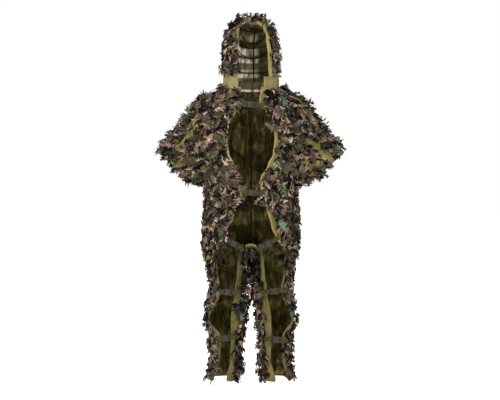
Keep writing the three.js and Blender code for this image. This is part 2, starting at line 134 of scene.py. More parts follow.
class Nodes:
    """A short way to write node trees."""

    def __init__(self, name):
        self.material = bpy.data.materials.new(name)
        self.material.use_nodes = True
        self.tree = self.material.node_tree
        self.shader = self.tree.nodes["Principled BSDF"]

    def add(self, kind, **settings):
        """A node, with its properties and its input sockets set by name."""
        node = self.tree.nodes.new(kind)
        for key, value in settings.items():
            if hasattr(node, key):
                setattr(node, key, value)
            else:
                node.inputs[key].default_value = value
        return node

    def link(self, source, target):
        self.tree.links.new(source, target)

    def feed(self, socket, value):
        """Links a socket to an output, or sets it to a constant."""
        if isinstance(value, bpy.types.NodeSocket):
            self.link(value, socket)
        else:
            socket.default_value = value

    def noise(self, vector, scale, detail=2.0, roughness=0.5, distortion=0.0):
        node = self.add(
            "ShaderNodeTexNoise", Scale=scale, Detail=detail, Roughness=roughness, Distortion=distortion,
        )
        self.link(vector, node.inputs["Vector"])
        return node.outputs["Fac"]

    def streaky_noise(self, vector, scale, detail=2.0, distortion=0.0):
        """Noise drawn out along the cloth. scale is across it, along it and unused."""
        mapping = self.add("ShaderNodeMapping", Scale=scale)
        self.link(vector, mapping.inputs["Vector"])
        return self.noise(mapping.outputs["Vector"], 1.0, detail, 0.6, distortion)

    def ramp(self, value, stops, constant=False):
        node = self.add("ShaderNodeValToRGB")
        ramp = node.color_ramp
        ramp.interpolation = "CONSTANT" if constant else "LINEAR"
        while len(ramp.elements) < len(stops):
            ramp.elements.new(0.5)
        for element, (position, colour) in zip(ramp.elements, stops):
            element.position = position
            element.color = colour
        self.link(value, node.inputs["Fac"])
        return node.outputs["Color"]

    def tones(self, value, *stops, constant=False):
        """A ramp through (position, sRGB colour) stops."""
        return self.ramp(value, [(position, linear(*colour)) for position, colour in stops], constant)

    def greys(self, value, *stops, constant=False):
        """A ramp through (position, grey level) stops."""
        return self.ramp(value, [(position, (level, level, level, 1)) for position, level in stops], constant)

    def mix(self, factor, a, b, blend="MIX"):
        node = self.add("ShaderNodeMix", data_type="RGBA", blend_type=blend)
        for socket, value in ((node.inputs[0], factor), (node.inputs[6], a), (node.inputs[7], b)):
            self.feed(socket, value)
        return node.outputs[2]

    def multiply(self, a, b):
        return self.mix(1.0, a, b, "MULTIPLY")

    def math(self, operation, a, b):
        node = self.add("ShaderNodeMath", operation=operation)
        for socket, value in zip(node.inputs, (a, b)):
            self.feed(socket, value)
        return node.outputs[0]

    def bands(self, vector, pitch, direction, **settings):
        node = self.add(
            "ShaderNodeTexWave", wave_type="BANDS", bands_direction=direction, Scale=WAVE_SCALE / pitch,
            **settings,
        )
        self.link(vector, node.inputs["Vector"])
        return node.outputs["Fac"]

    def weave(self, vector, pitch, strength=1.0):
        """A fine plain weave: warp and weft ridges of one pitch."""
        rough = {"Distortion": 0.6, "Detail Scale": 2.0}
        warp, weft = (self.bands(vector, pitch, direction, **rough) for direction in ("X", "Y"))
        return self.math("MULTIPLY", self.math("MULTIPLY", warp, weft), strength)

    def woven(self, tone, weave, share, thread):
        """A tone that turns towards the colour `thread` on the ridges of a weave."""
        return self.mix(self.math("MULTIPLY", weave, share), tone, linear(*thread))

    def bump(self, height, distance, strength=0.6):
        node = self.add("ShaderNodeBump", Distance=distance, Strength=strength)
        self.link(height, node.inputs["Height"])
        self.link(node.outputs["Normal"], self.shader.inputs["Normal"])

    def coordinates(self, layer=None):
        if layer:
            return self.add("ShaderNodeUVMap", uv_map=layer).outputs["UV"]
        return self.add("ShaderNodeTexCoord").outputs["Object"]

    def colour(self, socket):
        self.link(socket, self.shader.inputs["Base Color"])

    def roughness(self, value, *stops):
        """Roughness from a value, through (position, roughness) stops."""
        self.link(self.greys(value, *stops), self.shader.inputs["Roughness"])

    def see_through(self, uv, tone, light):
        """Cloth that lets light through, in streaks, where the mesh layer `thin` is over 0: there alpha lets
        the background show, and the colour turns towards `light`, painted light for the light that shines
        through.
        """
        thin = self.add("ShaderNodeAttribute", attribute_name="thin").outputs["Fac"]
        streak = self.greys(self.streaky_noise(uv, (62, 15, 1)), (0.36, 0.10), (0.50, 1))
        opening = self.math("MULTIPLY", thin, streak)
        alpha = self.math("SUBTRACT", 1.0, self.math("MULTIPLY", opening, 0.60))
        self.link(alpha, self.shader.inputs["Alpha"])
        return self.mix(opening, tone, linear(*light))

    def finish(self, roughness=None, sheen=0.0, specular=0.25):
        if roughness is not None:
            self.shader.inputs["Roughness"].default_value = roughness
        self.shader.inputs["Sheen Weight"].default_value = sheen
        self.shader.inputs["Specular IOR Level"].default_value = specular
        return self.material


def leaf_material(name, shade_low, shade_high, ink_share):
    """Woodland camouflage print on thin cloth. The layer `print` is where each leaf was cut from the roll."""
    n = Nodes(name)
    uv = n.coordinates("print")
    base = n.tones(
        n.noise(uv, 9, 1.5, 0.45, 0.5),
        (0.0, (96, 112, 86)), (0.36, (60, 72, 52)), (0.43, (86, 68, 56)), (0.49, (114, 93, 80)),
        (0.56, (154, 131, 112)), (0.60, (44, 34, 30)), (0.66, (110, 102, 64)), constant=True,
    )
    inked = n.greys(n.noise(uv, 15, 1.0, 0.4, 0.9), (0.0, 0), (1 - ink_share, 1), constant=True)
    inks = n.tones(n.noise(uv, 5, 0.0), (0.0, (12, 10, 10)), (0.50, (34, 34, 60)), constant=True)
    # Each leaf's brightness, at random between shade_low and shade_high; the low range of the shaded copy is
    # painted shade.
    shade = n.greys(n.noise(uv, 3.1, 0.0), (0.36, shade_low), (0.64, shade_high))
    wear = n.greys(n.noise(uv, 60, 3.0, 0.6), (0.3, 0.82), (0.7, 1.12))
    n.colour(n.multiply(n.multiply(n.mix(inked, base, inks), shade), wear))
    n.bump(n.math("ADD", n.noise(uv, 260, 2.0), n.weave(uv, 0.0012, 0.6)), 0.0006)
    n.roughness(n.noise(uv, 40, 2.0), (0.2, 0.7), (0.8, 0.95))
    return n.finish(sheen=0.02, specular=0.06)


def khaki_material(name, light, dark, pitch=0.0022, see=False):
    n = Nodes(name)
    uv = n.coordinates("cloth")
    place = n.coordinates()
    weave = n.weave(uv, pitch)
    tone = n.tones(n.noise(place, 16, 4.0, 0.6), (0.3, dark), (0.7, light))
    tone = n.woven(tone, weave, 0.25, [0.6 * channel for channel in dark])
    n.colour(n.see_through(uv, tone, light) if see else tone)
    n.bump(n.math("ADD", weave, n.noise(uv, 130, 3.0)), 0.0009)
    n.roughness(n.noise(place, 50, 2.0), (0.3, 0.74), (0.7, 0.92))
    return n.finish(sheen=0.06, specular=0.1)


def lining_material(name="lining_print", see=False):
    """Dark olive lining mesh with a faint lighter camouflage print, and painted shade and highlights of its
    folds: long ones down its pleats and finer streaks.
    """
    n = Nodes(name)
    uv = n.coordinates("cloth")
    blotch = n.noise(uv, 13, 2.5, 0.55, 1.1)
    base = n.tones(
        blotch, (0.44, (52, 44, 14)), (0.47, (66, 57, 22)), (0.55, (72, 63, 27)), (0.58, (98, 89, 50)),
    )
    # Painted highlights and shade along fine folds.
    fold_light_and_shade = n.ramp(n.streaky_noise(uv, (78, 15, 1), 3.0, 0.3), [
        (0.34, (0.55, 0.55, 0.51, 1)), (0.50, (0.95, 0.95, 0.92, 1)), (0.62, (1.8, 1.8, 1.95, 1)),
    ])
    # Painted shade and highlights down the long pleats.
    pleats = n.ramp(n.streaky_noise(uv, (42, 3.0, 1)), [
        (0.36, (0.55, 0.55, 0.51, 1)), (0.60, (1.2, 1.2, 1.2, 1)),
    ])
    mesh = n.weave(uv, 0.0030)
    tone = n.woven(n.multiply(n.multiply(base, fold_light_and_shade), pleats), mesh, 0.4, (26, 22, 7))
    n.colour(n.see_through(uv, tone, BACKLIT) if see else tone)
    n.bump(mesh, 0.0010)
    n.roughness(blotch, (0.3, 0.95), (0.7, 0.8))
    return n.finish(sheen=0.05, specular=0.1)


def hood_mesh_material(name, light, dark, lit):
    """Hood netting that lets light through where no leaf backs it; there its colour turns towards `lit`,
    painted light for the light that shines through.
    """
    n = Nodes(name)
    uv = n.coordinates("cloth")
    tone = n.tones(n.noise(uv, 14, 3.0, 0.55, 0.4), (0.38, dark), (0.66, light))
    mesh = n.weave(uv, 0.0028)
    n.colour(n.see_through(uv, n.woven(tone, mesh, 0.4, (30, 26, 10)), lit))
    n.bump(mesh, 0.0009)
    return n.finish(roughness=0.85, sheen=0.05, specular=0.1)


def webbing_material():
    """Flat nylon webbing with a ribbed weave."""
    n = Nodes("strap_webbing")
    uv = n.coordinates("cloth")
    tone = n.tones(n.noise(uv, 45, 3.0), (0.3, (44, 43, 20)), (0.7, (66, 64, 34)))
    ribs = n.weave(uv, 0.0021)
    n.colour(n.woven(tone, ribs, 0.5, (20, 21, 9)))
    n.bump(ribs, 0.0008, 0.8)
    n.roughness(n.noise(uv, 90, 2.0), (0.3, 0.55), (0.7, 0.8))
    return n.finish(sheen=0.02, specular=0.08)


def plastic_material():
    """Moulded plastic with ridges across it, painted shade in the grooves between them, and a slightly uneven
    sheen.
    """
    n = Nodes("buckle_plastic")
    place = n.coordinates()
    tone = n.tones(n.noise(place, 90, 4.0, 0.6), (0.3, (54, 50, 38)), (0.7, (76, 70, 55)))
    teeth = n.bands(n.coordinates("mould"), 0.0076, "X")
    # The near-black colour between the ridges is painted shade in their grooves.
    n.colour(n.mix(teeth, linear(14, 12, 8), tone))
    n.bump(teeth, 0.0008, 0.5)
    n.roughness(n.noise(place, 300, 3.0), (0.35, 0.38), (0.7, 0.6))
    return n.finish(specular=0.18)


def tape_material():
    n = Nodes("lining_tape")
    uv = n.coordinates("cloth")
    ribs = n.weave(uv, 0.0018)
    tone = n.tones(n.noise(uv, 60, 3.0), (0.3, (16, 15, 9)), (0.7, (32, 29, 18)))
    n.colour(n.woven(tone, ribs, 0.5, (8, 8, 5)))
    n.bump(ribs, 0.0006)
    return n.finish(roughness=0.85)


def thread_material():
    n = Nodes("stitch_thread")
    place = n.coordinates()
    n.colour(n.tones(n.noise(place, 400, 2.0), (0.3, (100, 92, 52)), (0.7, (142, 133, 86))))
    n.bump(n.noise(place, 2600, 1.0), 0.0002)
    return n.finish(roughness=0.6)


# BACKLIT is painted light: the bright colour given to cloth that the light behind it shines through.
BACKLIT = (255, 238, 182)  # cloth that the light behind it shines through
LEAF = leaf_material("leaf_print", 0.30, 1.32, 0.34)
# The shaded copy is the same print, far darker and with more dark ink: painted shade for the lowest layer of
# leaves, in the shadow of those above it.
LEAF_SHADED = leaf_material("leaf_print_shaded", 0.06, 0.34, 0.46)
NET = khaki_material("net_khaki", (132, 122, 70), (92, 84, 44))
# The leg cloth below is a darker copy of the net's khaki: painted shade for cloth that turns in away from the
# light.
LEG_NET_PAINTED_SHADE = khaki_material("leg_net_khaki_painted_shade", (114, 103, 60), (74, 66, 35))
# The darker hem below is a copy of the hem khaki: painted shade for the leg hems, which turn in away from the
# light; the sleeve hems take it too.
HEM_PAINTED_SHADE = khaki_material("hem_khaki_painted_shade", (112, 101, 58), (70, 62, 32), 0.0016)
HEM = khaki_material("hem_khaki", (150, 138, 84), (112, 102, 58), 0.0016)
COLLAR = khaki_material("collar_khaki", (136, 125, 84), (102, 93, 58), 0.0018, see=True)
LINING = lining_material()
COLLAR_LINING = lining_material("collar_lining", see=True)
HOOD_OUTER = hood_mesh_material("hood_net_outer", (130, 120, 76), (92, 84, 48), (134, 124, 80))
HOOD_INNER = hood_mesh_material("hood_net_inner", (118, 102, 62), (48, 40, 19), BACKLIT)
PATCH = khaki_material("patch_khaki", (92, 82, 50), (70, 61, 34), 0.0014)
WEBBING = webbing_material()
PLASTIC = plastic_material()
TAPE = tape_material()
THREAD = thread_material()

# ---- Mesh tools ----

TUBE_CORNERS = 12


def value_noise(points, seed):
    """Smooth noise from -1 to 1 at an (n, 3) array of points."""
    cell = np.floor(points).astype(np.int64)
    part = points - cell
    part = part * part * (3 - 2 * part)

    def corner(dx, dy, dz):
        x, y, z = cell[:, 0] + dx, cell[:, 1] + dy, cell[:, 2] + dz
        mixed = (x * 374761393 + y * 668265263 + z * 1440662683 + seed * 974634777) & 0xFFFFFFFF
        mixed = ((mixed ^ (mixed >> 13)) * 1274126177) & 0xFFFFFFFF
        return ((mixed ^ (mixed >> 16)) & 0xFFFFFF) / 0x7FFFFF - 1

    total = 0
    for dx in (0, 1):
        for dy in (0, 1):
            for dz in (0, 1):
                weight = np.ones(len(points))
                for axis, offset in enumerate((dx, dy, dz)):
                    weight = weight * (part[:, axis] if offset else 1 - part[:, axis])
                total = total + weight * corner(dx, dy, dz)
    return total


def normalised(vectors):
    return vectors / np.maximum(np.linalg.norm(vectors, axis=-1, keepdims=True), 1e-9)


def mesh_object(name, points, faces, materials, slots=None, uv=None, smooth=True):
    """A mesh object from arrays: faces is a list of arrays, and all faces in one have as many corners."""
    mesh = bpy.data.meshes.new(name)
    mesh.vertices.add(len(points))
    mesh.vertices.foreach_set("co", np.ascontiguousarray(points, np.float32).ravel())
    loops = np.concatenate([np.asarray(block).ravel() for block in faces]).astype(np.int32)
    sizes = np.concatenate([np.full(len(block), np.asarray(block).shape[1]) for block in faces])
    starts = np.concatenate([[0], np.cumsum(sizes)[:-1]]).astype(np.int32)
    mesh.loops.add(len(loops))
    mesh.loops.foreach_set("vertex_index", loops)
    mesh.polygons.add(len(sizes))
    mesh.polygons.foreach_set("loop_start", starts)
    mesh.polygons.foreach_set("loop_total", sizes.astype(np.int32))
    mesh.polygons.foreach_set("use_smooth", np.full(len(sizes), smooth))
    for material in materials:
        mesh.materials.append(material)
    if slots is not None:
        indices = np.concatenate([np.full(len(block), slot) for block, slot in zip(faces, slots)])
        mesh.polygons.foreach_set("material_index", indices.astype(np.int32))
    if uv:
        layer, values = uv
        target = mesh.uv_layers.new(name=layer)
        target.data.foreach_set("uv", np.ascontiguousarray(values[loops], np.float32).ravel())
    mesh.update(calc_edges=True)
    mesh.validate()
    made = bpy.data.objects.new(name, mesh)
    scene.collection.objects.link(made)
    return made


def grid_normals(points, wrap=False):
    """Outward normals of a grid of points: rows downward, columns anticlockwise from above."""
    down = np.gradient(points, axis=0)
    if wrap:
        across = np.roll(points, -1, axis=1) - np.roll(points, 1, axis=1)
    else:
        across = np.gradient(points, axis=1)
    return normalised(np.cross(down, across))


def grid_uv(points):
    """Each grid point's place on the flat cloth, in metres."""
    steps = np.linalg.norm(np.diff(points, axis=1), axis=2).mean(axis=0)
    rises = np.linalg.norm(np.diff(points, axis=0), axis=2).mean(axis=1)
    u = np.concatenate([[0], np.cumsum(steps)])
    v = np.concatenate([[0], np.cumsum(rises)])
    return np.stack(np.meshgrid(u, -v), axis=-1)


def grid_index(points, wrap=False):
    """The number of each point in a grid. With wrap, the first column comes again after the last."""
    index = np.arange(points.shape[0] * points.shape[1]).reshape(points.shape[:2])
    return np.concatenate([index, index[:, :1]], axis=1) if wrap else index


def grid_quads(index):
    """The corners of each square in a grid of point numbers."""
    return np.stack([index[:-1, :-1], index[1:, :-1], index[1:, 1:], index[:-1, 1:]], axis=-1).reshape(-1, 4)


def grid_tree(points):
    """A search tree of a grid's surface."""
    corners = [Vector(point) for point in points.reshape(-1, 3)]
    return BVHTree.FromPolygons(corners, grid_quads(grid_index(points)).tolist())


def cloth(name, points, thickness, outer, inner, wrap=False, thin=None):
    """A closed sheet of cloth: its inner face is the grid, and its outer one is `thickness` outside."""
    normals = grid_normals(points, wrap)
    layers = np.concatenate([points.reshape(-1, 3), (points + normals * thickness).reshape(-1, 3)])
    count = points.shape[0] * points.shape[1]
    index = grid_index(points, wrap)
    quads = grid_quads(index)
    rims = []

    def rim(start, end):
        rims.append(np.stack([start, end, end + count, start + count], axis=-1).reshape(-1, 4))

    rim(index[0, 1:], index[0, :-1])
    rim(index[-1, :-1], index[-1, 1:])
    if not wrap:
        rim(index[:-1, 0], index[1:, 0])
        rim(index[1:, -1], index[:-1, -1])
    uv = np.tile(grid_uv(points).reshape(-1, 2), (2, 1))
    faces = [quads + count, quads[:, [0, 3, 2, 1]], np.concatenate(rims)]
    made = mesh_object(name, layers, faces, [outer, inner], [0, 1, 0], ("cloth", uv))
    if thin is not None:
        layer = made.data.attributes.new("thin", "FLOAT", "POINT")
        layer.data.foreach_set("value", np.tile(thin.ravel(), 2).astype(np.float32))
    return made


def grid_size(points, wrap=False):
    """The width, length and area of the flat cloth that a grid was cut from."""
    row = np.concatenate([points, points[:, :1]], axis=1) if wrap else points
    widths = np.linalg.norm(np.diff(row, axis=1), axis=2).sum(axis=1)
    lengths = np.linalg.norm(np.diff(points, axis=0), axis=2).sum(axis=0)
    across = np.diff(row, axis=1)[:-1]
    down = np.diff(row, axis=0)[:, :-1]
    area = np.linalg.norm(np.cross(across, down), axis=2).sum()
    width, length = float(widths.max()), float(lengths.max())
    return width, length, float(min(area, width * length))


def mirrored(points):
    """The same grid on the suit's other side, with its columns reversed so that it still faces outward."""
    flipped = points[:, ::-1].copy()
    flipped[..., 0] *= -1
    return flipped


def distances(path):
    """How far each point of a path is from its start, along it."""
    return np.concatenate([[0], np.cumsum(np.linalg.norm(np.diff(path, axis=0), axis=1))])


def spread_evenly(path, vectors, count):
    """Vectors given at a path's points, read at `count` places evenly along it."""
    lengths = distances(path)
    even = np.linspace(0, lengths[-1], count)
    return np.stack([np.interp(even, lengths, vectors[:, k]) for k in range(3)], axis=1)


def even_path(points, spacing):
    """A path resampled at an even spacing along its own length."""
    return spread_evenly(points, points, max(int(round(distances(points)[-1] / spacing)), 3) + 1)


def eased(values, passes):
    """Softens a path or a list of vectors while keeping its ends."""
    values = values.copy()
    for _ in range(passes):
        values[1:-1] = (values[:-2] + 2 * values[1:-1] + values[2:]) / 4
    return values


def tube(path, side, lift, section):
    """Points, walls and caps of a closed tube. section(i) gives its offsets along `side` and `lift`."""
    rings = []
    for i, place in enumerate(path):
        offsets = section(i)
        rings.append(place + offsets[:, :1] * side[i] + offsets[:, 1:] * lift[i])
    corners = len(rings[0])
    index = grid_index(np.array(rings), True)
    walls = grid_quads(index)
    faces_out = (np.cross(np.gradient(path, axis=0), lift) * side).sum() > 0
    points = np.concatenate(rings)
    start, end = len(points), len(points) + 1
    points = np.concatenate([points, [rings[0].mean(axis=0), rings[-1].mean(axis=0)]])
    first = np.stack([np.full(corners, start), index[0, :-1], index[0, 1:]], axis=-1)
    last = np.stack([np.full(corners, end), index[-1, 1:], index[-1, :-1]], axis=-1)
    caps = np.concatenate([first, last])
    return (points, walls, caps) if faces_out else (points, walls[:, ::-1], caps[:, ::-1])


def path_uv(path, corners, spread):
    """Cloth places for a tube's points: around its section, then along it."""
    along = distances(path)
    around = np.abs(np.linspace(-1, 1, corners, endpoint=False)) * spread
    grid = np.stack(np.meshgrid(around, along), axis=-1).reshape(-1, 2)
    return np.concatenate([grid, [[0, along[0]], [0, along[-1]]]])


def stitches(path, lift, pitch=0.0045, length=0.003, radius=0.00045):
    """Points and faces of a run of thread stitches along a path."""
    run = even_path(path, pitch)
    ups = normalised(spread_evenly(path, lift, len(run)))
    points, faces = [], []
    for i in range(len(run) - 1):
        along = normalised(run[i + 1] - run[i])
        across = np.cross(along, ups[i])
        centre = (run[i] + run[i + 1]) / 2
        ends = [centre - along * length / 2, centre, centre + along * length / 2]
        heights = [-radius, radius, -radius]
        ring = []
        for end, height in zip(ends, heights):
            for offset in (across * radius, ups[i] * radius, -across * radius, -ups[i] * radius):
                ring.append(end + ups[i] * height + offset)
        base = len(points)
        points.extend(ring)
        for k in (0, 4):
            for m in range(4):
                a, b = base + k + m, base + k + (m + 1) % 4
                faces.append((a, b, b + 4, a + 4))
        faces.append((base + 3, base + 2, base + 1, base))
        faces.append((base + 8, base + 9, base + 10, base + 11))
    return np.array(points).reshape(-1, 3), np.array(faces).reshape(-1, 4)


def superellipse(half_width, half_thickness, round_x=0.4, round_y=0.4):
    """Offsets round a flat section with soft corners."""
    turns = np.linspace(0, TAU, TUBE_CORNERS, endpoint=False)
    x = np.sign(np.cos(turns)) * np.abs(np.cos(turns)) ** round_x
    y = np.sign(np.sin(turns)) * np.abs(np.sin(turns)) ** round_y
    return np.stack([x * half_width, y * half_thickness], axis=1)


def sewn_object(name, shell, thread, uv, material):
    """One object of a closed tube, and the stitches on it."""
    points, walls, caps = shell
    thread_points, thread_faces = thread
    faces = [walls, caps, thread_faces + len(points)]
    uv = np.concatenate([uv, np.zeros((len(thread_points), 2))])
    points = np.concatenate([points, thread_points])
    return mesh_object(name, points, faces, [material, THREAD], [0, 0, 1], ("cloth", uv))


BINDING_HALF_THICKNESS = 2.6 * MM
BINDING_OFFSET = 2.5 * MM  # of a binding's middle past the cloth's edge


def binding(name, edge, normals, away, half_width, seed=0, material=None):
    """A folded strip sewn over a cloth edge, with one row of stitches. half_width is a list, in mm."""
    run = even_path(edge, 0.006)
    lift = normalised(eased(normalised(spread_evenly(edge, normals, len(run))), 4))
    tangent = normalised(np.gradient(run, axis=0))
    out = spread_evenly(edge, away, len(run))
    side = normalised(eased(normalised(out - tangent * (out * tangent).sum(axis=1, keepdims=True)), 3))
    share = np.linspace(0, 1, len(run))
    widths = np.interp(share, np.linspace(0, 1, len(half_width)), half_width) * MM
    pucker = value_noise(run * 130 + seed, seed + 3)
    wave = value_noise(run * 38 + seed, seed + 5)
    outward = BINDING_OFFSET - 0.35 * (widths[:, None] - 6 * MM)
    centre = run + side * outward + lift * (1.3 + 1.0 * wave[:, None]) * MM
    flat_section = superellipse(1, 1, 0.6, 0.8)

    def section(i):
        width = widths[i] * (1 + 0.08 * pucker[i])
        thick = BINDING_HALF_THICKNESS * (1 + 0.18 * pucker[i])
        return flat_section * np.array([width, thick])

    shell = tube(centre, side, lift, section)
    thread_line = centre - side * (widths[:, None] * 0.55) + lift * (0.95 * BINDING_HALF_THICKNESS)
    uv = path_uv(centre, TUBE_CORNERS, 0.012)
    return sewn_object(name, shell, stitches(thread_line, lift), uv, material or HEM)


def ribbon(path, lift, half_width, half_thickness):
    """Points, walls, caps and cloth places of a flat ribbon along a path."""
    lift = normalised(lift)
    side = normalised(np.cross(normalised(np.gradient(path, axis=0)), lift))
    section = superellipse(half_width, half_thickness)
    points, walls, caps = tube(path, side, lift, lambda i: section)
    return points, walls, caps, path_uv(path, len(section), half_width * 2)


def gathered(parts):
    """Joins (points, face blocks, uv) parts into one: the face blocks keep their order and count."""
    points, uv, blocks, start = [], [], None, 0
    for part_points, part_blocks, part_uv in parts:
        shifted = [block + start for block in part_blocks]
        blocks = [[b] for b in shifted] if blocks is None else [old + [b] for old, b in zip(blocks, shifted)]
        points.append(part_points)
        uv.append(part_uv)
        start += len(part_points)
    return np.concatenate(points), [np.concatenate(block) for block in blocks], np.concatenate(uv)


# ---- Leaves ----

def reseed(seed):
    """Starts the random draws again, so that one piece's leaves don't depend on the pieces before it."""
    global rng
    rng = np.random.default_rng(seed)


LEAF_STATIONS = np.array([0.0, 0.11, 0.21, 0.32, 0.42, 0.53, 0.63, 0.74, 0.84, 1.0])  # shares of its length
# Each layer of a cover: leaves per square metre, the least gap between them, and the ranges of their
# height above the cloth and of their tilt in radians. The first layer lies flat and takes the darker
# leaf print, painted shade for the shadow of the layers above it.
LEAF_LAYERS = (
    (1700, 0.018, (0.003, 0.005), (0.0, 0.12)),
    (900, 0.024, (0.006, 0.010), (0.02, 0.30)),
    (620, 0.028, (0.009, 0.015), (0.08, 0.50)),
)


def spread_points(points, normals, count, gap, weight=None):
    """Places on a grid surface, at least `gap` apart, by area times weight. Returns points and normals."""
    a, b, c, d = points[:-1, :-1], points[1:, :-1], points[1:, 1:], points[:-1, 1:]
    areas = np.linalg.norm(np.cross(c - a, d - b), axis=2) / 2
    if weight is not None:
        areas = areas * weight
    chance = (areas / areas.sum()).ravel()
    picks = rng.choice(len(chance), size=count * 4, p=chance)
    i, j = np.unravel_index(picks, areas.shape)
    s, t = rng.random((2, len(picks), 1))

    def at(values):
        return (
            values[i, j] * (1 - s) * (1 - t) + values[i + 1, j] * s * (1 - t)
            + values[i + 1, j + 1] * s * t + values[i, j + 1] * (1 - s) * t
        )

    places, facing = at(points), normalised(at(normals))
    chance = np.ones(len(places)) if weight is None else weight[i, j]
    allowed = rng.random(len(places)) < chance
    cells = {}
    kept = []
    keys = np.floor(places / gap).astype(int)
    for k in np.flatnonzero(allowed):
        x, y, z = keys[k]
        near = [
            m for dx in (-1, 0, 1) for dy in (-1, 0, 1) for dz in (-1, 0, 1)
            for m in cells.get((x + dx, y + dy, z + dz), ())
        ]
        if near and (np.square(places[near] - places[k]).sum(axis=1) < gap * gap).any():
            continue
        cells.setdefault((x, y, z), []).append(k)
        kept.append(k)
        if len(kept) == count:
            break
    return places[kept], facing[kept]


LEAF_NEAR, LEAF_FAR = 3.6 * MM, 21 * MM  # a leaf's nearest and farthest heights above the cloth's inner face
LEAF_SPARE = 9 * MM  # how far past its farthest height the tip of a curled leaf may reach
CURL_LEFT_ABOVE, CURL_LEFT_BELOW = 0.25, 0.12  # the share of a leaf's curl that is left past those heights


def hug(points, heights, surface):
    """Moves each point along the surface's normal to its own height above it."""
    moved = points.copy()
    for k, point in enumerate(points):
        place, normal, _, _ = surface.find_nearest(point)
        above = (Vector(point) - place).dot(normal)
        moved[k] = Vector(point) + normal * (heights[k] - above)
    return moved


def leaf_faces(count, per_leaf):
    """Triangles from each leaf's spine to its left and right edges, which meet at the tip."""
    steps = len(LEAF_STATIONS)
    faces = []
    for a in range(steps - 1):
        b = a + 1
        for edge, flip in ((steps, False), (2 * steps - 1, True)):
            triangles = [(a, b, edge + b), (a, edge + b, edge + a)] if b < steps - 1 else [(a, b, edge + a)]
            faces += [corners[::-1] if flip else corners for corners in triangles]
    starts = np.arange(count) * per_leaf
    return (np.array(faces)[None] + starts[:, None, None]).reshape(-1, 3)


def leaf_shapes(places, normals, surface, lift, tilt, length, flow=(0, 0, -1), scatter=0.9, far=LEAF_FAR):
    """Points, faces and print places of one ragged, curled leaf at each place."""
    count = len(places)
    flow = np.broadcast_to(np.asarray(flow, float), (count, 3))
    flow = flow - normals * (flow * normals).sum(axis=1, keepdims=True)
    flow = normalised(flow + 1e-4 * rng.normal(size=(count, 3)))
    side = np.cross(normals, flow)
    turn = rng.normal(0, scatter, (count, 1))
    along = flow * np.cos(turn) + side * np.sin(turn)
    across = np.cross(normals, along)
    rise = rng.uniform(*tilt, (count, 1))
    forward = along * np.cos(rise) + normals * np.sin(rise)
    up = normals * np.cos(rise) - along * np.sin(rise)
    roll = rng.normal(0, 0.35, (count, 1))
    across, up = across * np.cos(roll) + up * np.sin(roll), up * np.cos(roll) - across * np.sin(roll)
    size = rng.uniform(*length, (count, 1))
    width = size * rng.uniform(0.22, 0.46, (count, 1))
    bend = rng.normal(0.3, 1.0, (count, 1))
    bend = np.where(np.abs(bend) < 0.05, 0.05, bend)
    twist = rng.normal(0, 0.7, (count, 1))
    cup = rng.normal(0.1, 0.45, (count, 1))
    base = places + normals * rng.uniform(*lift, (count, 1))
    steps = len(LEAF_STATIONS)
    spine, left, right, prints = [], [], [], []
    offset = rng.uniform(0, 4, (count, 2))
    for k, station in enumerate(LEAF_STATIONS):
        ahead = np.sin(bend * station) / bend
        out = (1 - np.cos(bend * station)) / bend
        middle = base + size * (forward * ahead + up * out)
        spine.append(middle)
        prints.append(np.concatenate([0 * size, size * station], axis=1) + offset)
        if k == steps - 1:
            continue
        slope = forward * np.cos(bend * station) + up * np.sin(bend * station)
        lean = up * np.cos(bend * station) - forward * np.sin(bend * station)
        lobe = k % 2 == 1
        reach = rng.uniform(0.55, 1.35, (2, count, 1)) if lobe else rng.uniform(0.10, 0.42, (2, count, 1))
        reach = reach * (0.35 + 0.75 * math.sin(math.pi * min(station + 0.12, 1)))
        shift = (0.075 if lobe else -0.012) + rng.uniform(-0.03, 0.045, (2, count, 1))
        for sign, store, amount, slide in ((1, left, reach[0], shift[0]), (-1, right, reach[1], shift[1])):
            level = width * amount
            lateral = across * np.cos(twist * station) + lean * np.sin(twist * station)
            point = middle + sign * level * lateral + lean * cup * level * amount + slope * size * slide
            store.append(point)
    for sign, store in ((1, left), (-1, right)):
        for k in range(steps - 1):
            gap = np.linalg.norm(store[k] - spine[k], axis=1, keepdims=True)
            prints.append(np.concatenate([sign * gap, size * LEAF_STATIONS[k]], axis=1) + offset)
    points = np.stack(spine + left + right, axis=1)
    per_leaf = points.shape[1]
    above = ((points - places[:, None]) * normals[:, None]).sum(axis=2)
    above = np.where(above > far, far + np.minimum((above - far) * CURL_LEFT_ABOVE, LEAF_SPARE), above)
    above = np.where(above < LEAF_NEAR, LEAF_NEAR + (LEAF_NEAR - above) * CURL_LEFT_BELOW, above)
    points = hug(points.reshape(-1, 3), above.ravel(), surface)
    uv = np.stack(prints, axis=1).reshape(-1, 2)
    return points, leaf_faces(count, per_leaf), uv


def leaf_piece(name, *sets):
    """One object from sets of leaf batches. The first batch of each set is its shaded layer, or None."""
    points, faces, prints, slots, start = [], [], [], [], 0
    for batches in sets:
        for layer, batch in enumerate(batches):
            if batch is None:
                continue
            points.append(batch[0])
            faces.append(batch[1] + start)
            prints.append(batch[2])
            slots.append(min(layer, 1))
            start += len(batch[0])
    return mesh_object(
        name, np.concatenate(points), faces, [LEAF_SHADED, LEAF], slots, ("print", np.concatenate(prints)),
    )


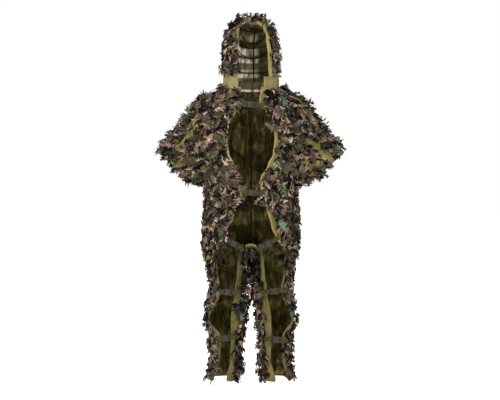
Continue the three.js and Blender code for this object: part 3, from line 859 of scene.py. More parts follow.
def leaf_set(
    points, wrap=False, weight=None, length=(0.046, 0.086), flow=(0, 0, -1), scatter=0.9,
    far=LEAF_FAR, steep=0.0, amount=1.0,
):
    """Batches of leaves on a grid surface: a shaded layer flat on the cloth, and two that stand off it."""
    if wrap:
        points = np.concatenate([points, points[:, :1]], axis=1)
    normals = grid_normals(points)
    surface = grid_tree(points)
    area = grid_size(points)[2]
    batches = []
    for density, gap, lift, tilt in LEAF_LAYERS:
        places, facing = spread_points(points, normals, int(area * density * amount), gap, weight)
        tilt = (tilt[0] + steep, tilt[1] + steep)
        batches.append(leaf_shapes(places, facing, surface, lift, tilt, length, flow, scatter, far))
    return batches


def side_leaves(points, where=1.0):
    """Leaves that stand out at the suit's sides, for a ragged outline, without a shaded layer."""
    facing = np.abs(grid_normals(points)[:-1, :-1, 0])
    weight = np.clip((facing - 0.75) / 0.1, 0, 1) * where
    batches = leaf_set(points, weight=weight, length=(0.034, 0.056), far=0.027, steep=0.7, amount=0.13)
    return [None] + batches[1:]


CLIP_ROOM = np.array([0.040, 0.002, 0.010])  # round a clip, which slides 24 mm along x


def press_behind(made, clips):
    """Presses back the leaves that these clips slide over, so that none stands in front of a clip's back."""
    points = np.empty(len(made.data.vertices) * 3, np.float32)
    made.data.vertices.foreach_get("co", points)
    points = points.reshape(-1, 3)
    for clip in clips:
        low, high = np.array(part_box(clip)) + np.array([-CLIP_ROOM, CLIP_ROOM])
        inside = ((points > low) & (points < high))[:, [0, 2]].all(axis=1)
        points[inside, 1] = np.maximum(points[inside, 1], high[1])
    made.data.vertices.foreach_set("co", points.ravel())


# ---- The suit's surfaces ----


def profile(stations):
    """A smooth value along a height, from [height, value] stations listed from the top down, in mm."""
    levels = np.array([s[0] for s in stations], float)[::-1]
    values = np.array([s[1] for s in stations], float)[::-1]

    def at(height):
        height = np.asarray(height, float)
        k = np.clip(np.searchsorted(levels, height), 1, len(levels) - 1)
        t = np.clip((height - levels[k - 1]) / (levels[k] - levels[k - 1]), 0, 1)
        t = t * t * (3 - 2 * t)
        return values[k - 1] * (1 - t) + values[k] * t

    return at


def ellipse_rows(heights, a, front, back, angles, cx=0.0, cy=0.0):
    """A grid in metres. Angle 0 faces forward, 90 degrees is towards +X, and angles has a row per height."""
    columns = (heights, a, front, back, cx + 0 * heights)
    heights, a, front, back, cx = (np.asarray(values, float)[:, None] for values in columns)
    depth = np.where(np.cos(angles) > 0, front, back)
    x = cx + a * np.sin(angles)
    y = cy - depth * np.cos(angles)
    return np.stack([x, y, heights + 0 * x], axis=-1) * MM


def spaced(start, end, count):
    """Evenly spaced values from each start to each end, one row for each."""
    share = np.linspace(0, 1, count)[None]
    return np.asarray(start)[:, None] * (1 - share) + np.asarray(end)[:, None] * share


ARMHOLE_TOP = np.array([182.0, 24.0])
ARMHOLE_BOTTOM = np.array([195.0, -405.0])
ARMHOLE_HALF_DEPTH = 105.0
SEAM_GAP = 0.4
TORSO_BOTTOM = -695.0
SEAT_BOTTOM = -742.0

body_side = profile([
    [52, 136], [42, 160], [24, 178], [-2, 182], [-405, 195], [-450, 200], [-640, 213], [-695, 214],
    [SEAT_BOTTOM, 204],
])
torso_back = profile([
    [52, 112], [-120, 128], [-300, 130], [-450, 122], [-600, 136], [-695, 138], [SEAT_BOTTOM, 112],
])
torso_front = profile([
    [52, 102], [-120, 120], [-300, 130], [-450, 125], [-600, 131], [-695, 132], [SEAT_BOTTOM, 106],
])
front_opening = profile([
    [52, 56], [-20, 44], [-60, 76], [-120, 110], [-190, 118], [-264, 109], [-315, 85], [-384, 49],
    [-440, 26], [-470, 38], [-510, 80], [-600, 101], [-650, 122], [-695, 150], [SEAT_BOTTOM, 172],
])


def torso_section(heights, depth):
    middle = (ARMHOLE_TOP[1] + ARMHOLE_BOTTOM[1]) / 2
    half = (ARMHOLE_TOP[1] - ARMHOLE_BOTTOM[1]) / 2
    share = (heights - middle) / half
    hole = np.where(np.abs(share) < 1, ARMHOLE_HALF_DEPTH * np.sqrt(np.maximum(1 - share**2, 0)), 0)
    reach = np.minimum(hole / depth, 0.95)
    along = (ARMHOLE_TOP[1] - heights) / (ARMHOLE_TOP[1] - ARMHOLE_BOTTOM[1])
    straight = ARMHOLE_TOP[0] + (ARMHOLE_BOTTOM[0] - ARMHOLE_TOP[0]) * along
    side = np.where((along > 0) & (along < 1), straight, body_side(heights))
    return side / np.sqrt(1 - reach**2), math.pi / 2 - np.arcsin(reach) - SEAM_GAP / depth


def torso_levels():
    parts = [np.linspace(52, 30, 6), np.linspace(24, -405, 62), np.linspace(-412, SEAT_BOTTOM, 46)]
    return np.sort(np.unique(np.concatenate(parts)))[::-1]


def front_grid():
    heights = torso_levels()
    depth = torso_front(heights)
    a, side_angle = torso_section(heights, depth)
    start = np.arcsin(front_opening(heights) / a)
    return heights, ellipse_rows(heights, a, depth, depth, spaced(start, side_angle, 40))


def back_grid():
    heights = torso_levels()
    depth = torso_back(heights)
    a, side_angle = torso_section(heights, depth)
    angles = spaced(math.pi - side_angle, math.pi + side_angle, 100)
    return heights, ellipse_rows(heights, a, depth, depth, angles)


HOOD_OPENING_TOP = 366
hood_width = profile([
    [384, 2], [379, 36], [368, 62], [355, 80], [325, 101], [280, 115], [200, 120], [102, 131],
])
hood_front = profile([[384, 62], [379, 92], [368, 106], [355, 111], [325, 114], [250, 116], [102, 104]])
hood_back = profile([
    [384, 18], [379, 44], [368, 68], [355, 88], [325, 110], [250, 126], [150, 122], [102, 116],
])
face_opening = profile([
    [HOOD_OPENING_TOP, 0], [359, 26], [350, 44], [334, 64], [300, 78], [200, 87], [102, 92],
])


def hood_grid():
    heights = np.concatenate([[384, 382.5, 380.5, 378, 374.5, 370], np.linspace(HOOD_OPENING_TOP, 101, 50)])
    a = hood_width(heights)
    closed = heights > HOOD_OPENING_TOP
    start = np.where(closed, 0.002, np.arcsin(np.clip(face_opening(heights) / a, 0, 1)))
    # On the right the net reaches further in over the face opening.
    narrower = 1 - 0.22 * np.clip((345 - heights) / 60, 0, 1)
    far = np.where(closed, 0.002, np.arcsin(np.clip(face_opening(heights) * narrower / a, 0, 1)))
    angles = spaced(start, TAU - far, 84)
    return heights, ellipse_rows(heights, a, hood_front(heights), hood_back(heights), angles)


SLEEVE_TOP = np.array([[182, 20], [224, 16], [262, -30], [318, -102], [382, -177], [444, -252]], float)
SLEEVE_UNDER = np.array([[195, -400], [260, -382], [324, -355]], float)
SLEEVE_HEM_HALF_DEPTH = 62


def spline(points, shares):
    """Points on a uniform Catmull-Rom curve through `points`, at shares of its length from 0 to 1."""
    last = len(points) - 1
    place = np.asarray(shares) * last
    k = np.minimum(place.astype(int), last - 1)
    t = (place - k)[:, None]
    p0, p1 = points[np.maximum(k - 1, 0)], points[k]
    p2, p3 = points[k + 1], points[np.minimum(k + 2, last)]
    v0, v1 = (p2 - p0) / 2, (p3 - p1) / 2
    return (2 * p1 - 2 * p2 + v0 + v1) * t**3 + (3 * p2 - 3 * p1 - 2 * v0 - v1) * t**2 + v0 * t + p1


def sleeve_ring_grid(shares, columns):
    top, under = spline(SLEEVE_TOP, shares), spline(SLEEVE_UNDER, shares)
    half_depth = ((ARMHOLE_HALF_DEPTH - 3) * (1 - shares) + SLEEVE_HEM_HALF_DEPTH * shares)[:, None]
    turn = np.linspace(0, TAU, columns, endpoint=False)[None]
    drop = (1 - np.cos(turn)) / 2
    x = top[:, :1] * (1 - drop) + under[:, :1] * drop
    z = top[:, 1:] * (1 - drop) + under[:, 1:] * drop
    return np.stack([x, half_depth * np.sin(turn), z], axis=-1) * MM


leg_centre = profile([[-700, 113], [-900, 115], [-1046, 125], [-1128, 120], [-1224, 120], [-1345, 130]])
leg_width = profile([[-700, 76], [-816, 76], [-902, 66], [-1046, 80], [-1128, 62], [-1224, 60], [-1345, 68]])
leg_depth = profile([[-700, 84], [-816, 86], [-902, 80], [-1046, 86], [-1128, 72], [-1224, 68], [-1345, 78]])
leg_inner = profile([[-700, 52], [-816, 60], [-902, 70], [-1046, 88], [-1224, 88], [-1345, 112]])
leg_outer = profile([
    [-700, 172], [-816, 163], [-902, 149], [-1046, 199], [-1128, 152], [-1224, 153], [-1345, 180],
])
LEG_CENTRE_Y = 10


def leg_grid(heights, columns=64):
    a, depth, cx = leg_width(heights), leg_depth(heights), leg_centre(heights)
    start = np.arcsin(np.clip((leg_outer(heights) - cx) / a, -0.97, 0.97))
    end = TAU + np.arcsin(np.clip((leg_inner(heights) - cx) / a, -0.97, 0.97))
    return ellipse_rows(heights, a, depth, depth, spaced(start, end, columns), cx, LEG_CENTRE_Y)


def folded(points, amount, scale, seed, wrap=False, pleats=0.0):
    """The grid with soft folds, and long pleats down it. scale is folds per metre along x, y and z."""
    normals = grid_normals(points, wrap)
    places = points.reshape(-1, 3)
    flat = places * np.asarray(scale)
    fine = value_noise(flat * 2.3 + seed * 3, seed + 11)
    height = amount * (value_noise(flat + seed, seed) + 0.45 * fine)
    if pleats:
        height = height + pleats * (
            0.6 * value_noise(places * np.array([26, 26, 2.6]) + seed, seed + 23)
            + 0.55 * value_noise(places * np.array([58, 58, 3.4]) + seed, seed + 37)
        )
    return points + normals * height.reshape(points.shape[:2])[..., None]


def declare(grid, wrap=False):
    width, length, area = grid_size(grid, wrap)
    flat = (round(width, 3), round(length, 3))
    area = round(min(area, flat[0] * flat[1]), 4)


def fit(made, hold, slot, *nodes):
    """Rides a piece on the body `hold`, or, where hold names two bodies, only bakes its place into its mesh.
    The piece stands in place of these CAD nodes, which are hidden.
    """
    if isinstance(hold, str):
        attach(made, hold)
    else:
        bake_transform(made)
    if nodes:
        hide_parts(*nodes)


CLOTH_THICKNESS = 0.0022
SIDES = ("left", "right")
SIGNS = {"left": 1, "right": -1}


# ---- Torso ----

heights, front = front_grid()
_, back = back_grid()
body_fold = dict(amount=0.0035, scale=(9, 9, 4), pleats=0.0035)
front_panels = {"left": front, "right": mirrored(front)}
strap_bases = []  # the surfaces that straps are sewn to

back_soft = folded(back, seed=5, **body_fold)
back_cloth = cloth("back_cloth", back_soft, CLOTH_THICKNESS, NET, LINING)
fit(back_cloth, "torso", "net_fabric", "back_panel")
reseed(41)
below_sleeves = heights[:-1, None] < -400
back_leaves = leaf_piece(
    "back_leaves", leaf_set(back_soft[:, 1:-1]), side_leaves(back_soft[:, 1:-1], below_sleeves),
)
fit(back_leaves, "torso", "leaf_fabric", "back_leaf_cover")
declare(back)

for side, panel in front_panels.items():
    soft = folded(panel, seed=9 if side == "left" else 17, **body_fold)
    strap_bases.append(soft)
    panel_cloth = cloth(f"{side}_front_cloth", soft, CLOTH_THICKNESS, NET, LINING)
    fit(panel_cloth, "torso", "net_fabric", f"{side}_front_panel")
    reach = np.abs(soft[:-1, :-1, 0])
    level = heights[:-1, None]
    columns_in = np.arange(panel.shape[1] - 1)[None]
    if side == "right":
        columns_in = columns_in[:, ::-1]
    open_edge = (level < -50) & (level > -345) | (level < -500) & (side == "left")
    weight = np.where(open_edge & (columns_in < 3), 0, 1.0) * (columns_in > 0)
    weight = weight * np.where((level < -655) & (reach < 0.160), 0, 1)
    reseed(42 if side == "left" else 43)
    sets = [leaf_set(soft, weight=weight, flow=(0.35 * SIGNS[side], 0, -1), scatter=0.8)]
    if side == "right":
        over_edge = (columns_in < 3) * (level < -285) * (level > -400) * 1.0
        sets.append(leaf_set(
            soft, weight=over_edge, length=(0.050, 0.080), flow=(0.5, 0, -1), scatter=0.5, amount=0.16,
        ))
    sets.append(side_leaves(soft, below_sleeves))
    cover = leaf_piece(f"{side}_front_leaves", *sets)
    if side == "left":
        press_behind(cover, ("neck_clip", "waist_clip"))
    fit(cover, "torso", "leaf_fabric", f"{side}_front_leaf_cover")
    column = 0 if side == "left" else -1
    inward = 1 if side == "left" else -2
    kept = heights >= TORSO_BOTTOM - 1
    edge = soft[kept, column]
    normals = grid_normals(soft)[kept, column]
    away = normalised(soft[kept, column] - soft[kept, inward])
    hem_widths = [5, 4.5, 5.5, 4.5, 4.5, 5.5, 6]
    hem = binding(f"{side}_front_binding", edge, normals, away, hem_widths, seed=3 if side == "left" else 29)
    fit(hem, "torso", "hem_fabric", f"{side}_front_hem")
    declare(panel)

# ---- Hood ----

NECK_BLEND = ("torso", "hood", (0, 0, 0.056), (0, 0, 0.200))
hood_heights, hood = hood_grid()
hood_soft = folded(hood, 0.003, (10, 10, 6), 31)
angle_share = np.linspace(-1, 1, hood.shape[1])[None]


def band(low, high, strength):
    """`strength` between two heights at the middle of the back; above z 190 the band rises to the sides."""
    rise = 30 * np.clip((hood_heights[:, None] - 190) / 60, 0, 1) * np.minimum((angle_share / 0.30) ** 2, 1)
    z = hood_heights[:, None] - rise
    inside = np.clip((z - low) / 6 + 0.5, 0, 1) * np.clip((high - z) / 6 + 0.5, 0, 1)
    return inside * strength


# Where light comes through the hood's back, in the bands between its rows of tape: there the cloth is partly
# see-through, and painted light makes its colour lighter.
at_back = np.clip((0.23 - angle_share) / 0.06, 0, 1) * np.clip((angle_share + 0.19) / 0.06, 0, 1)
thin = (
    band(298, 328, 0.45) + band(230, 266, 1.15) + band(197, 217, 1.15) + band(150, 164, 0.5)
    + band(124, 143, 0.85) + 0.24 * np.clip((205 - hood_heights[:, None]) / 20, 0, 1)
) * at_back
ragged = value_noise(hood_soft.reshape(-1, 3) * np.array([55, 55, 16]), 77).reshape(thin.shape)
thin = np.clip(thin * (0.75 + 0.5 * ragged), 0, 1)
hood_cloth = cloth("hood_cloth", hood_soft, CLOTH_THICKNESS, HOOD_OUTER, HOOD_INNER, thin=thin)
fit(hood_cloth, NECK_BLEND, "net_fabric", "hood_left_panel", "hood_right_panel")
# A leaf hangs over its own row of the grid and the eight rows below it.
hung_over = np.maximum.reduce([np.roll(thin, -shift, axis=0) for shift in range(9)])[:-1, :-1]
leaf_heights = hood_heights[:-1, None]
hood_columns = np.arange(hood.shape[1] - 1)
LONG_LEAVES_FROM, SHORT_LEAVES_FROM, CROWN_FROM = 152, 128, 318  # heights in mm
long_rows = np.clip(1.4 - 3.5 * hung_over, 0, 1) * (leaf_heights > LONG_LEAVES_FROM)
long_rows = long_rows * ((hood_columns > 2) | (leaf_heights > 350))
short_rows = np.clip(1 - 4 * thin[:-1, :-1], 0, 1) * (long_rows < 0.5) * (leaf_heights > SHORT_LEAVES_FROM)
crown = np.repeat(leaf_heights > CROWN_FROM, len(hood_columns), axis=1) * 1.0
right_edge_leaves = (hood_columns > len(hood_columns) - 5) * (leaf_heights > 142) * (leaf_heights < 268) * 1.0
reseed(44)
leafy = hood_soft[1:]
hood_leaves = leaf_piece(
    "hood_leaves",
    leaf_set(leafy, weight=long_rows[1:], length=(0.036, 0.064), amount=0.9),
    leaf_set(leafy, weight=short_rows[1:], length=(0.020, 0.032), scatter=1.3, amount=0.6),
    leaf_set(
        leafy, weight=right_edge_leaves[1:], length=(0.046, 0.066), flow=(1, 0, -0.5), scatter=0.35,
        amount=0.10,
    ),
    leaf_set(
        leafy, weight=crown[1:], length=(0.034, 0.056), flow=(0, -0.6, -0.2), scatter=1.5,
        far=0.034, steep=0.45, amount=0.10,
    ),
    side_leaves(leafy, leaf_heights[1:] > LONG_LEAVES_FROM),
)
fit(hood_leaves, NECK_BLEND, "leaf_fabric", "hood_leaf_cover")

opened = hood_heights <= HOOD_OPENING_TOP
normals = grid_normals(hood_soft)
left_edge = hood_soft[opened, 0][::-1]
right_edge = hood_soft[opened, -1][1:]
face_edge = np.concatenate([left_edge, right_edge])
face_normals = np.concatenate([normals[opened, 0][::-1], normals[opened, -1][1:]])
face_middle = np.array([0, face_edge[:, 1].mean(), 0.2])
HOOD_HEM_WIDTHS = [9, 8.5, 8, 7, 6, 5, 5, 6]
hood_binding = binding(
    "hood_binding", face_edge, face_normals, face_middle - face_edge, HOOD_HEM_WIDTHS, seed=8,
)
fit(hood_binding, NECK_BLEND, "hem_fabric", "hood_hem")

# ---- Collar ----

COLLAR_ROWS, COLLAR_COLUMNS = 12, 90
COLLAR_HALF_WIDTH, COLLAR_FRONT, COLLAR_BACK = 132, 103, 114
COLLAR_OPENING = math.radians(27)  # from the middle of the front to each of its ends
collar_heights = np.linspace(103, 46, COLLAR_ROWS)
ones = np.ones(COLLAR_ROWS)
edges = COLLAR_OPENING * ones
collar_angles = spaced(edges, TAU - edges, COLLAR_COLUMNS)
collar = ellipse_rows(
    collar_heights, COLLAR_HALF_WIDTH * ones, COLLAR_FRONT * ones, COLLAR_BACK * ones, collar_angles,
)
collar_soft = folded(collar, 0.0025, (26, 26, 3), 13)
collar_turn = np.abs(np.linspace(-1, 1, COLLAR_COLUMNS))[None]
# Where light comes through the collar: there it is partly see-through, and painted light makes its colour
# lighter.
collar_thin = (
    np.clip((collar_heights[:, None] - 50) / 4, 0, 1) * np.clip((67 - collar_heights[:, None]) / 4, 0, 1)
    * np.clip((0.30 - collar_turn) / 0.04, 0, 1)
)
collar_thin = np.maximum(collar_thin, 0.16 * (collar_turn < 0.4))
collar_cloth = cloth("collar_cloth", collar_soft, 0.0024, COLLAR, COLLAR_LINING, thin=collar_thin)
fit(collar_cloth, NECK_BLEND, "hem_fabric", "collar_band")
declare(collar)

# ---- Sleeves ----

SLEEVE_COLUMNS = 128
shares = np.linspace(0.0, 0.955, 46)
sleeve = sleeve_ring_grid(shares, SLEEVE_COLUMNS)
sleeve_turn = np.linspace(0, TAU, SLEEVE_COLUMNS, endpoint=False)[None]
FRONT = 1.5 * math.pi  # the turn round a sleeve at which its cloth faces forward
# Bare runs of cloth along each sleeve: the turn at the middle, and half the width in mm.
BARE_RUNS = {
    "left": ((TAU - 0.55, 20), (FRONT + 0.08, 17), (FRONT - 0.55, 19)),
    "right": ((TAU - 0.20, 10), (FRONT + 0.40, 16), (FRONT - 0.32, 14)),
}


def stripe(turn, half_width):
    """1 on a bare run of cloth along the sleeve, at one place round it. half_width is in mm."""
    radius = np.linalg.norm(spline(SLEEVE_TOP, shares) - spline(SLEEVE_UNDER, shares), axis=1)[:, None] / 2
    distance = np.abs((sleeve_turn - turn + math.pi) % TAU - math.pi) * radius
    half_width = half_width * (1.45 - 0.85 * shares[:, None])
    return np.clip(1 + (half_width - distance) / 6, 0, 1) * np.clip((shares[:, None] - 0.30) / 0.1, 0, 1)


def sleeve_folds(seed):
    """How far the sleeve's folds stand out from its smooth surface."""
    height = 0
    for amount, around, along in ((0.006, 4.2, 2.0), (0.0045, 10, 3.5), (0.0035, 22, 4.5)):
        axes = (sleeve_turn * around + seed, shares[:, None] * along, 0 * sleeve_turn)
        places = np.stack(np.broadcast_arrays(*axes), -1).reshape(-1, 3)
        height = height + amount * value_noise(places, seed + int(around)).reshape(sleeve.shape[:2])
    height = height * np.clip(shares[:, None] * 4, 0, 1)
    return (height * np.clip((0.96 - shares[:, None]) * 12, 0, 1))[..., None]


for side in SIDES:
    sign = SIGNS[side]
    seed = 51 if side == "left" else 83
    bare_runs = sum(stripe(*run) for run in BARE_RUNS[side])
    if side == "right":
        bare_runs = bare_runs * np.clip((0.88 - shares[:, None]) / 0.05, 0, 1)
    weight = (1 - np.clip(bare_runs, 0, 1))[:-1]
    base = sleeve
    soft = base + grid_normals(base, True) * sleeve_folds(seed)
    hem_rings = sleeve_ring_grid(np.linspace(0.945, 1.0, 9), 96)
    if side == "right":
        base, soft, hem_rings = mirrored(base), mirrored(soft), mirrored(hem_rings)
        weight = weight[:, ::-1]
    sleeve_cloth = cloth(f"{side}_sleeve_cloth", soft, CLOTH_THICKNESS, NET, LINING, wrap=True)
    last = -2 if side == "left" else None
    reseed(45 if side == "left" else 46)
    cover = leaf_piece(f"{side}_sleeve_leaves", leaf_set(
        soft[:last], wrap=True, weight=weight[:last], length=(0.034, 0.060), flow=(sign, 0, -0.7),
        scatter=0.4,
    ))
    hem_soft = folded(hem_rings, 0.0012, (30, 30, 30), seed, True)
    hem_outer = hem_soft + grid_normals(hem_soft, True) * 0.0006
    hem = cloth(f"{side}_sleeve_binding", hem_outer, 0.0036, HEM_PAINTED_SHADE, HEM_PAINTED_SHADE, wrap=True)
    blend = ("torso", f"{side}_sleeve", (sign * 0.197, 0, -0.12), (sign * 0.312, 0, -0.12))
    fit(sleeve_cloth, blend, "net_fabric", f"{side}_sleeve")
    fit(cover, blend, "leaf_fabric", f"{side}_sleeve_leaf_cover")
    fit(hem, blend, "hem_fabric", f"{side}_sleeve_hem")
    declare(base, True)

# ---- Legs ----

leg_heights = np.linspace(-690, -1331, 84)
leg = leg_grid(leg_heights)
leafy_rows = slice(1, -2)
LEG_HEM_WIDTHS = [5, 5, 5, 6, 5, 5, 5, 5, 4, 5, 5, 7, 10, 9, 8, 7, 6]
# Columns without leaves along a leg's inner edge, at these heights.
BARE_HEIGHTS = [-1331, -1200, -1140, -1000, -860]
BARE_COLUMNS = {"left": [1.5, 1.5, 2.5, 3.2, 3], "right": [1.5, 1.5, 3.5, 5, 4]}

for side in SIDES:
    sign = SIGNS[side]
    seed = 23 if side == "left" else 67
    base = leg if side == "left" else mirrored(leg)
    soft = folded(base, 0.0035, (10, 10, 5), seed, pleats=0.0035)
    strap_bases.append(soft)
    leg_cloth = cloth(f"{side}_leg_cloth", soft, CLOTH_THICKNESS, LEG_NET_PAINTED_SHADE, LINING)
    normals = grid_normals(soft)
    inward = -sign * normals[:-1, :-1, 0]
    facing_front = np.clip(0.5 - normals[:-1, :-1, 1] / 0.12, 0, 1)
    columns_in = np.arange(leg.shape[1] - 1)[::-sign]
    bare_columns = np.interp(leg_heights[:-1], BARE_HEIGHTS, BARE_COLUMNS[side])
    weight = np.clip(columns_in[None] - bare_columns[:, None], 0, 1)[leafy_rows]
    standing = (np.clip((inward - 0.55) / 0.2, 0, 1) * (1 - 0.8 * facing_front))[leafy_rows]
    thigh = (leg_heights[:-1] > -960)[leafy_rows, None]
    outer = np.clip((-inward - 0.60) / 0.2, 0, 1)[leafy_rows]
    leafy = soft[leafy_rows]
    reseed(47 if side == "left" else 48)
    cover = leaf_piece(
        f"{side}_leg_leaves",
        leaf_set(leafy, weight=weight, length=(0.036, 0.062), flow=(0, 0.15, -1), scatter=0.75),
        leaf_set(
            leafy, weight=standing * ~thigh, length=(0.044, 0.066), scatter=0.7, far=0.034, steep=0.4,
            amount=0.14,
        ),
        leaf_set(
            leafy, weight=standing * thigh, length=(0.052, 0.078), scatter=0.8, far=0.048, steep=0.6,
            amount=0.22,
        ),
        leaf_set(leafy, weight=outer, length=(0.036, 0.058), far=0.030, steep=0.45, amount=0.12),
    )
    press_behind(cover, (f"{side}_knee_clip", f"{side}_calf_clip"))
    kept = leg_heights <= -735
    edge = np.concatenate([soft[kept, 0], soft[-1, 2:-2], soft[kept, -1][::-1]])
    edge_normals = np.concatenate([normals[kept, 0], normals[-1, 2:-2], normals[kept, -1][::-1]])
    away = np.concatenate([
        normalised(soft[kept, 0] - soft[kept, 1]),
        np.tile([[0.0, 0.0, -1.0]], (leg.shape[1] - 4, 1)),
        normalised(soft[kept, -1] - soft[kept, -2])[::-1],
    ])
    hem = binding(
        f"{side}_leg_binding", edge, edge_normals, away, LEG_HEM_WIDTHS, seed=seed, material=HEM_PAINTED_SHADE,
    )
    blend = ("torso", f"{side}_leg", (sign * 0.113, 0.032, -0.690), (sign * 0.113, 0.032, -0.790))
    fit(leg_cloth, blend, "net_fabric", f"{side}_leg")
    fit(cover, blend, "leaf_fabric", f"{side}_leg_leaf_cover")
    fit(hem, blend, "hem_fabric", f"{side}_leg_hem")
    declare(base)

# ---- Crotch gusset ----

GUSSET_HALF_WIDTH = 26
GUSSET_FRONT = -84
gusset_share = np.linspace(0, 1, 40)[:, None]
gusset_side = np.linspace(1, -1, 15)[None]
gusset_x = GUSSET_HALF_WIDTH * gusset_side
gusset_y = (torso_back(TORSO_BOTTOM) - 8) * (1 - gusset_share) + GUSSET_FRONT * gusset_share
gusset_sag = 22 * np.sin(math.pi * gusset_share * 0.96)
gusset_z = TORSO_BOTTOM - 1 - gusset_sag + 5 * gusset_share**2 + 7 * (1 - gusset_side**2)
gusset = np.stack(np.broadcast_arrays(gusset_x, gusset_y, gusset_z), axis=-1) * MM
gusset_soft = folded(gusset, 0.0012, (24, 24, 24), 91)
gusset_cloth = cloth("gusset_cloth", gusset_soft, CLOTH_THICKNESS, NET, LINING)
gusset_away = normalised(gusset_soft[-1] - gusset_soft[-2])
gusset_binding = binding(
    "gusset_binding", gusset_soft[-1], grid_normals(gusset_soft)[-1], gusset_away, [4.5, 4, 4.5], seed=6,
)
fit(gusset_cloth, "torso", "net_fabric", "crotch_gusset")
fit(gusset_binding, "torso", "hem_fabric")
reseed(49)
gusset_leaves = leaf_piece("gusset_leaves", leaf_set(
    gusset_soft[3:-3], length=(0.050, 0.085), flow=(0, 0.4, -1), scatter=1.2, far=0.070, steep=0.75,
))
fit(gusset_leaves, "torso", "leaf_fabric")
declare(gusset)

# ---- Tapes and the blank patch inside ----


def tape_along(points, normals, half_width):
    """One run of tape on the inner face of the cloth."""
    path = points - normals * (1.1 * MM)
    tape_points, walls, caps, uv = ribbon(path, -normals, half_width, 0.6 * MM)
    return tape_points, [walls, caps], uv


def tape_object(name, points, faces, uv):
    return mesh_object(name, points, faces, [TAPE], [0, 0], ("cloth", uv))


def middle_line(grid):
    """The line down the middle of the back, on the rows that hold the seam tape."""
    middle = grid.shape[1] // 2
    return grid[tape_rows, middle - 1] + grid[tape_rows, middle]


tape_rows = (heights <= -66) & (heights >= TORSO_BOTTOM)
back_line, back_facing = middle_line(back_soft) / 2, normalised(middle_line(grid_normals(back_soft)))
back_tape = tape_object("back_seam_binding", *tape_along(back_line, back_facing, 3.5 * MM))
fit(back_tape, "torso", "lining_tape", "back_seam_tape")

# Each tape row's height at the spine, its rise at its ends, and its half-length as a share of a turn.
TAPE_ROWS = ((344, 24, 0.46), (290, 50, 0.30), (270, 26, 0.46), (220, 42, 0.30), (147, 3, 0.28))
SPINE_X = 11 * MM
hood_normals = grid_normals(hood_soft)
behind = np.where(hood_soft[30, :, 1] > 0, np.abs(hood_soft[30, :, 0] - SPINE_X), 1).argmin()
spine_rows = hood_heights <= 352
parts = [tape_along(hood_soft[spine_rows, behind], hood_normals[spine_rows, behind], 3.4 * MM)]
falling = hood_heights[::-1]
columns = np.flatnonzero(np.abs(angle_share[0]) < 0.44)
for level, rise, reach in TAPE_ROWS:
    across = (angle_share[0, columns] - angle_share[0, behind]) / reach
    levels = np.minimum(level + rise * across**2, 360)
    run, facing = (
        np.stack([
            [np.interp(height, falling, values[::-1, column, axis]) for axis in range(3)]
            for height, column in zip(levels, columns)
        ])
        for values in (hood_soft, hood_normals)
    )
    parts.append(tape_along(run, normalised(facing), 2.6 * MM))
hood_tapes = tape_object("hood_tapes", *gathered(parts))
fit(hood_tapes, NECK_BLEND, "lining_tape", "hood_row_tape")
declare(hood)

back_tree = grid_tree(back_soft)
patch = np.array([
    [back_tree.ray_cast(Vector((x * MM, 0, z * MM)), Vector((0, 1, 0)))[0] for x in np.linspace(-8, 22, 9)]
    for z in np.linspace(28, 0, 9)
])
PATCH_THICKNESS = 0.0012
patch = patch - np.array([0, 1.2 * MM, 0])
patch_cloth = cloth("blank_patch", patch, PATCH_THICKNESS, PATCH, PATCH)
fit(patch_cloth, "torso", "lining_tape")

# ---- Straps and buckles ----

SOCKET_BAR, CLIP_BAR = -19.5, 23.5  # places of the bars along a strap, from the buckle's origin
WEBBING_HALF_WIDTH, WEBBING_HALF_THICKNESS = 10 * MM, 0.8 * MM
TURN_RADIUS = 3.3  # of the webbing's middle round a bar
STRAP_GAP = 17  # how far a leg strap's ends stand in front of the leg's edges
STRAP_OVERLAP = 22  # how far they lie in from those edges
HEM_DEPTH, GREATEST_DIP = 7, 16  # of the hem under a sewn end, and how far that end may drop to it


def leg_strap_ends(side, outer_height, inner_height):
    row = leg_grid(np.array([outer_height, inner_height], float)) / MM
    outer, inner = row[0, 0], row[1, -1]
    y = min(outer[1], inner[1]) - STRAP_GAP
    socket_end = [side * (outer[0] + STRAP_OVERLAP), y, outer_height]
    return socket_end, [side * (inner[0] - STRAP_OVERLAP), y, inner_height]


def webbing_path(reach, tail, toward_down):
    """Middle line and lifts, folded round a bar at 0. Both the sewn leg and the tail run to -x."""
    sewn = [[x, TURN_RADIUS, 0] for x in np.linspace(-reach, -2, max(int(reach / 2.5), 4))]
    round_bar = [[math.sin(t), math.cos(t), 0] for t in np.linspace(0, math.pi, 9)]
    fold = [[x, -TURN_RADIUS, 0] for x in np.linspace(-2, -15, 7)]
    path = np.concatenate([sewn, TURN_RADIUS * np.array(round_bar), fold])
    if tail:
        heading, place, step = np.array([-1.0, 0, 0]), path[-1].copy(), 2.5
        steps = []
        for k in range(int(tail / step)):
            heading = normalised(heading + 0.11 * (toward_down - heading))
            place = place + heading * step + np.array([0, 0.35 * math.sin(0.5 * k), 0])
            steps.append(place)
        path = np.concatenate([path, steps])
    after = len(path) - len(sewn) - len(round_bar)
    lift = np.array([[0, 1.0, 0]] * len(sewn) + round_bar + [[0, -1.0, 0]] * after)
    return path, lift, len(sewn)


def box_stitch(start, end, half_width):
    """Path of stitching at a sewn end, in the strap's frame: a box and a cross inside it."""
    low, high = -half_width, half_width
    box = [(start, low), (end, low), (end, high), (start, high), (start, low)]
    diagonals = [(end, high), (end, low), (start, high)]
    return np.array([[x, 0, z] for x, z in box + diagonals], float)


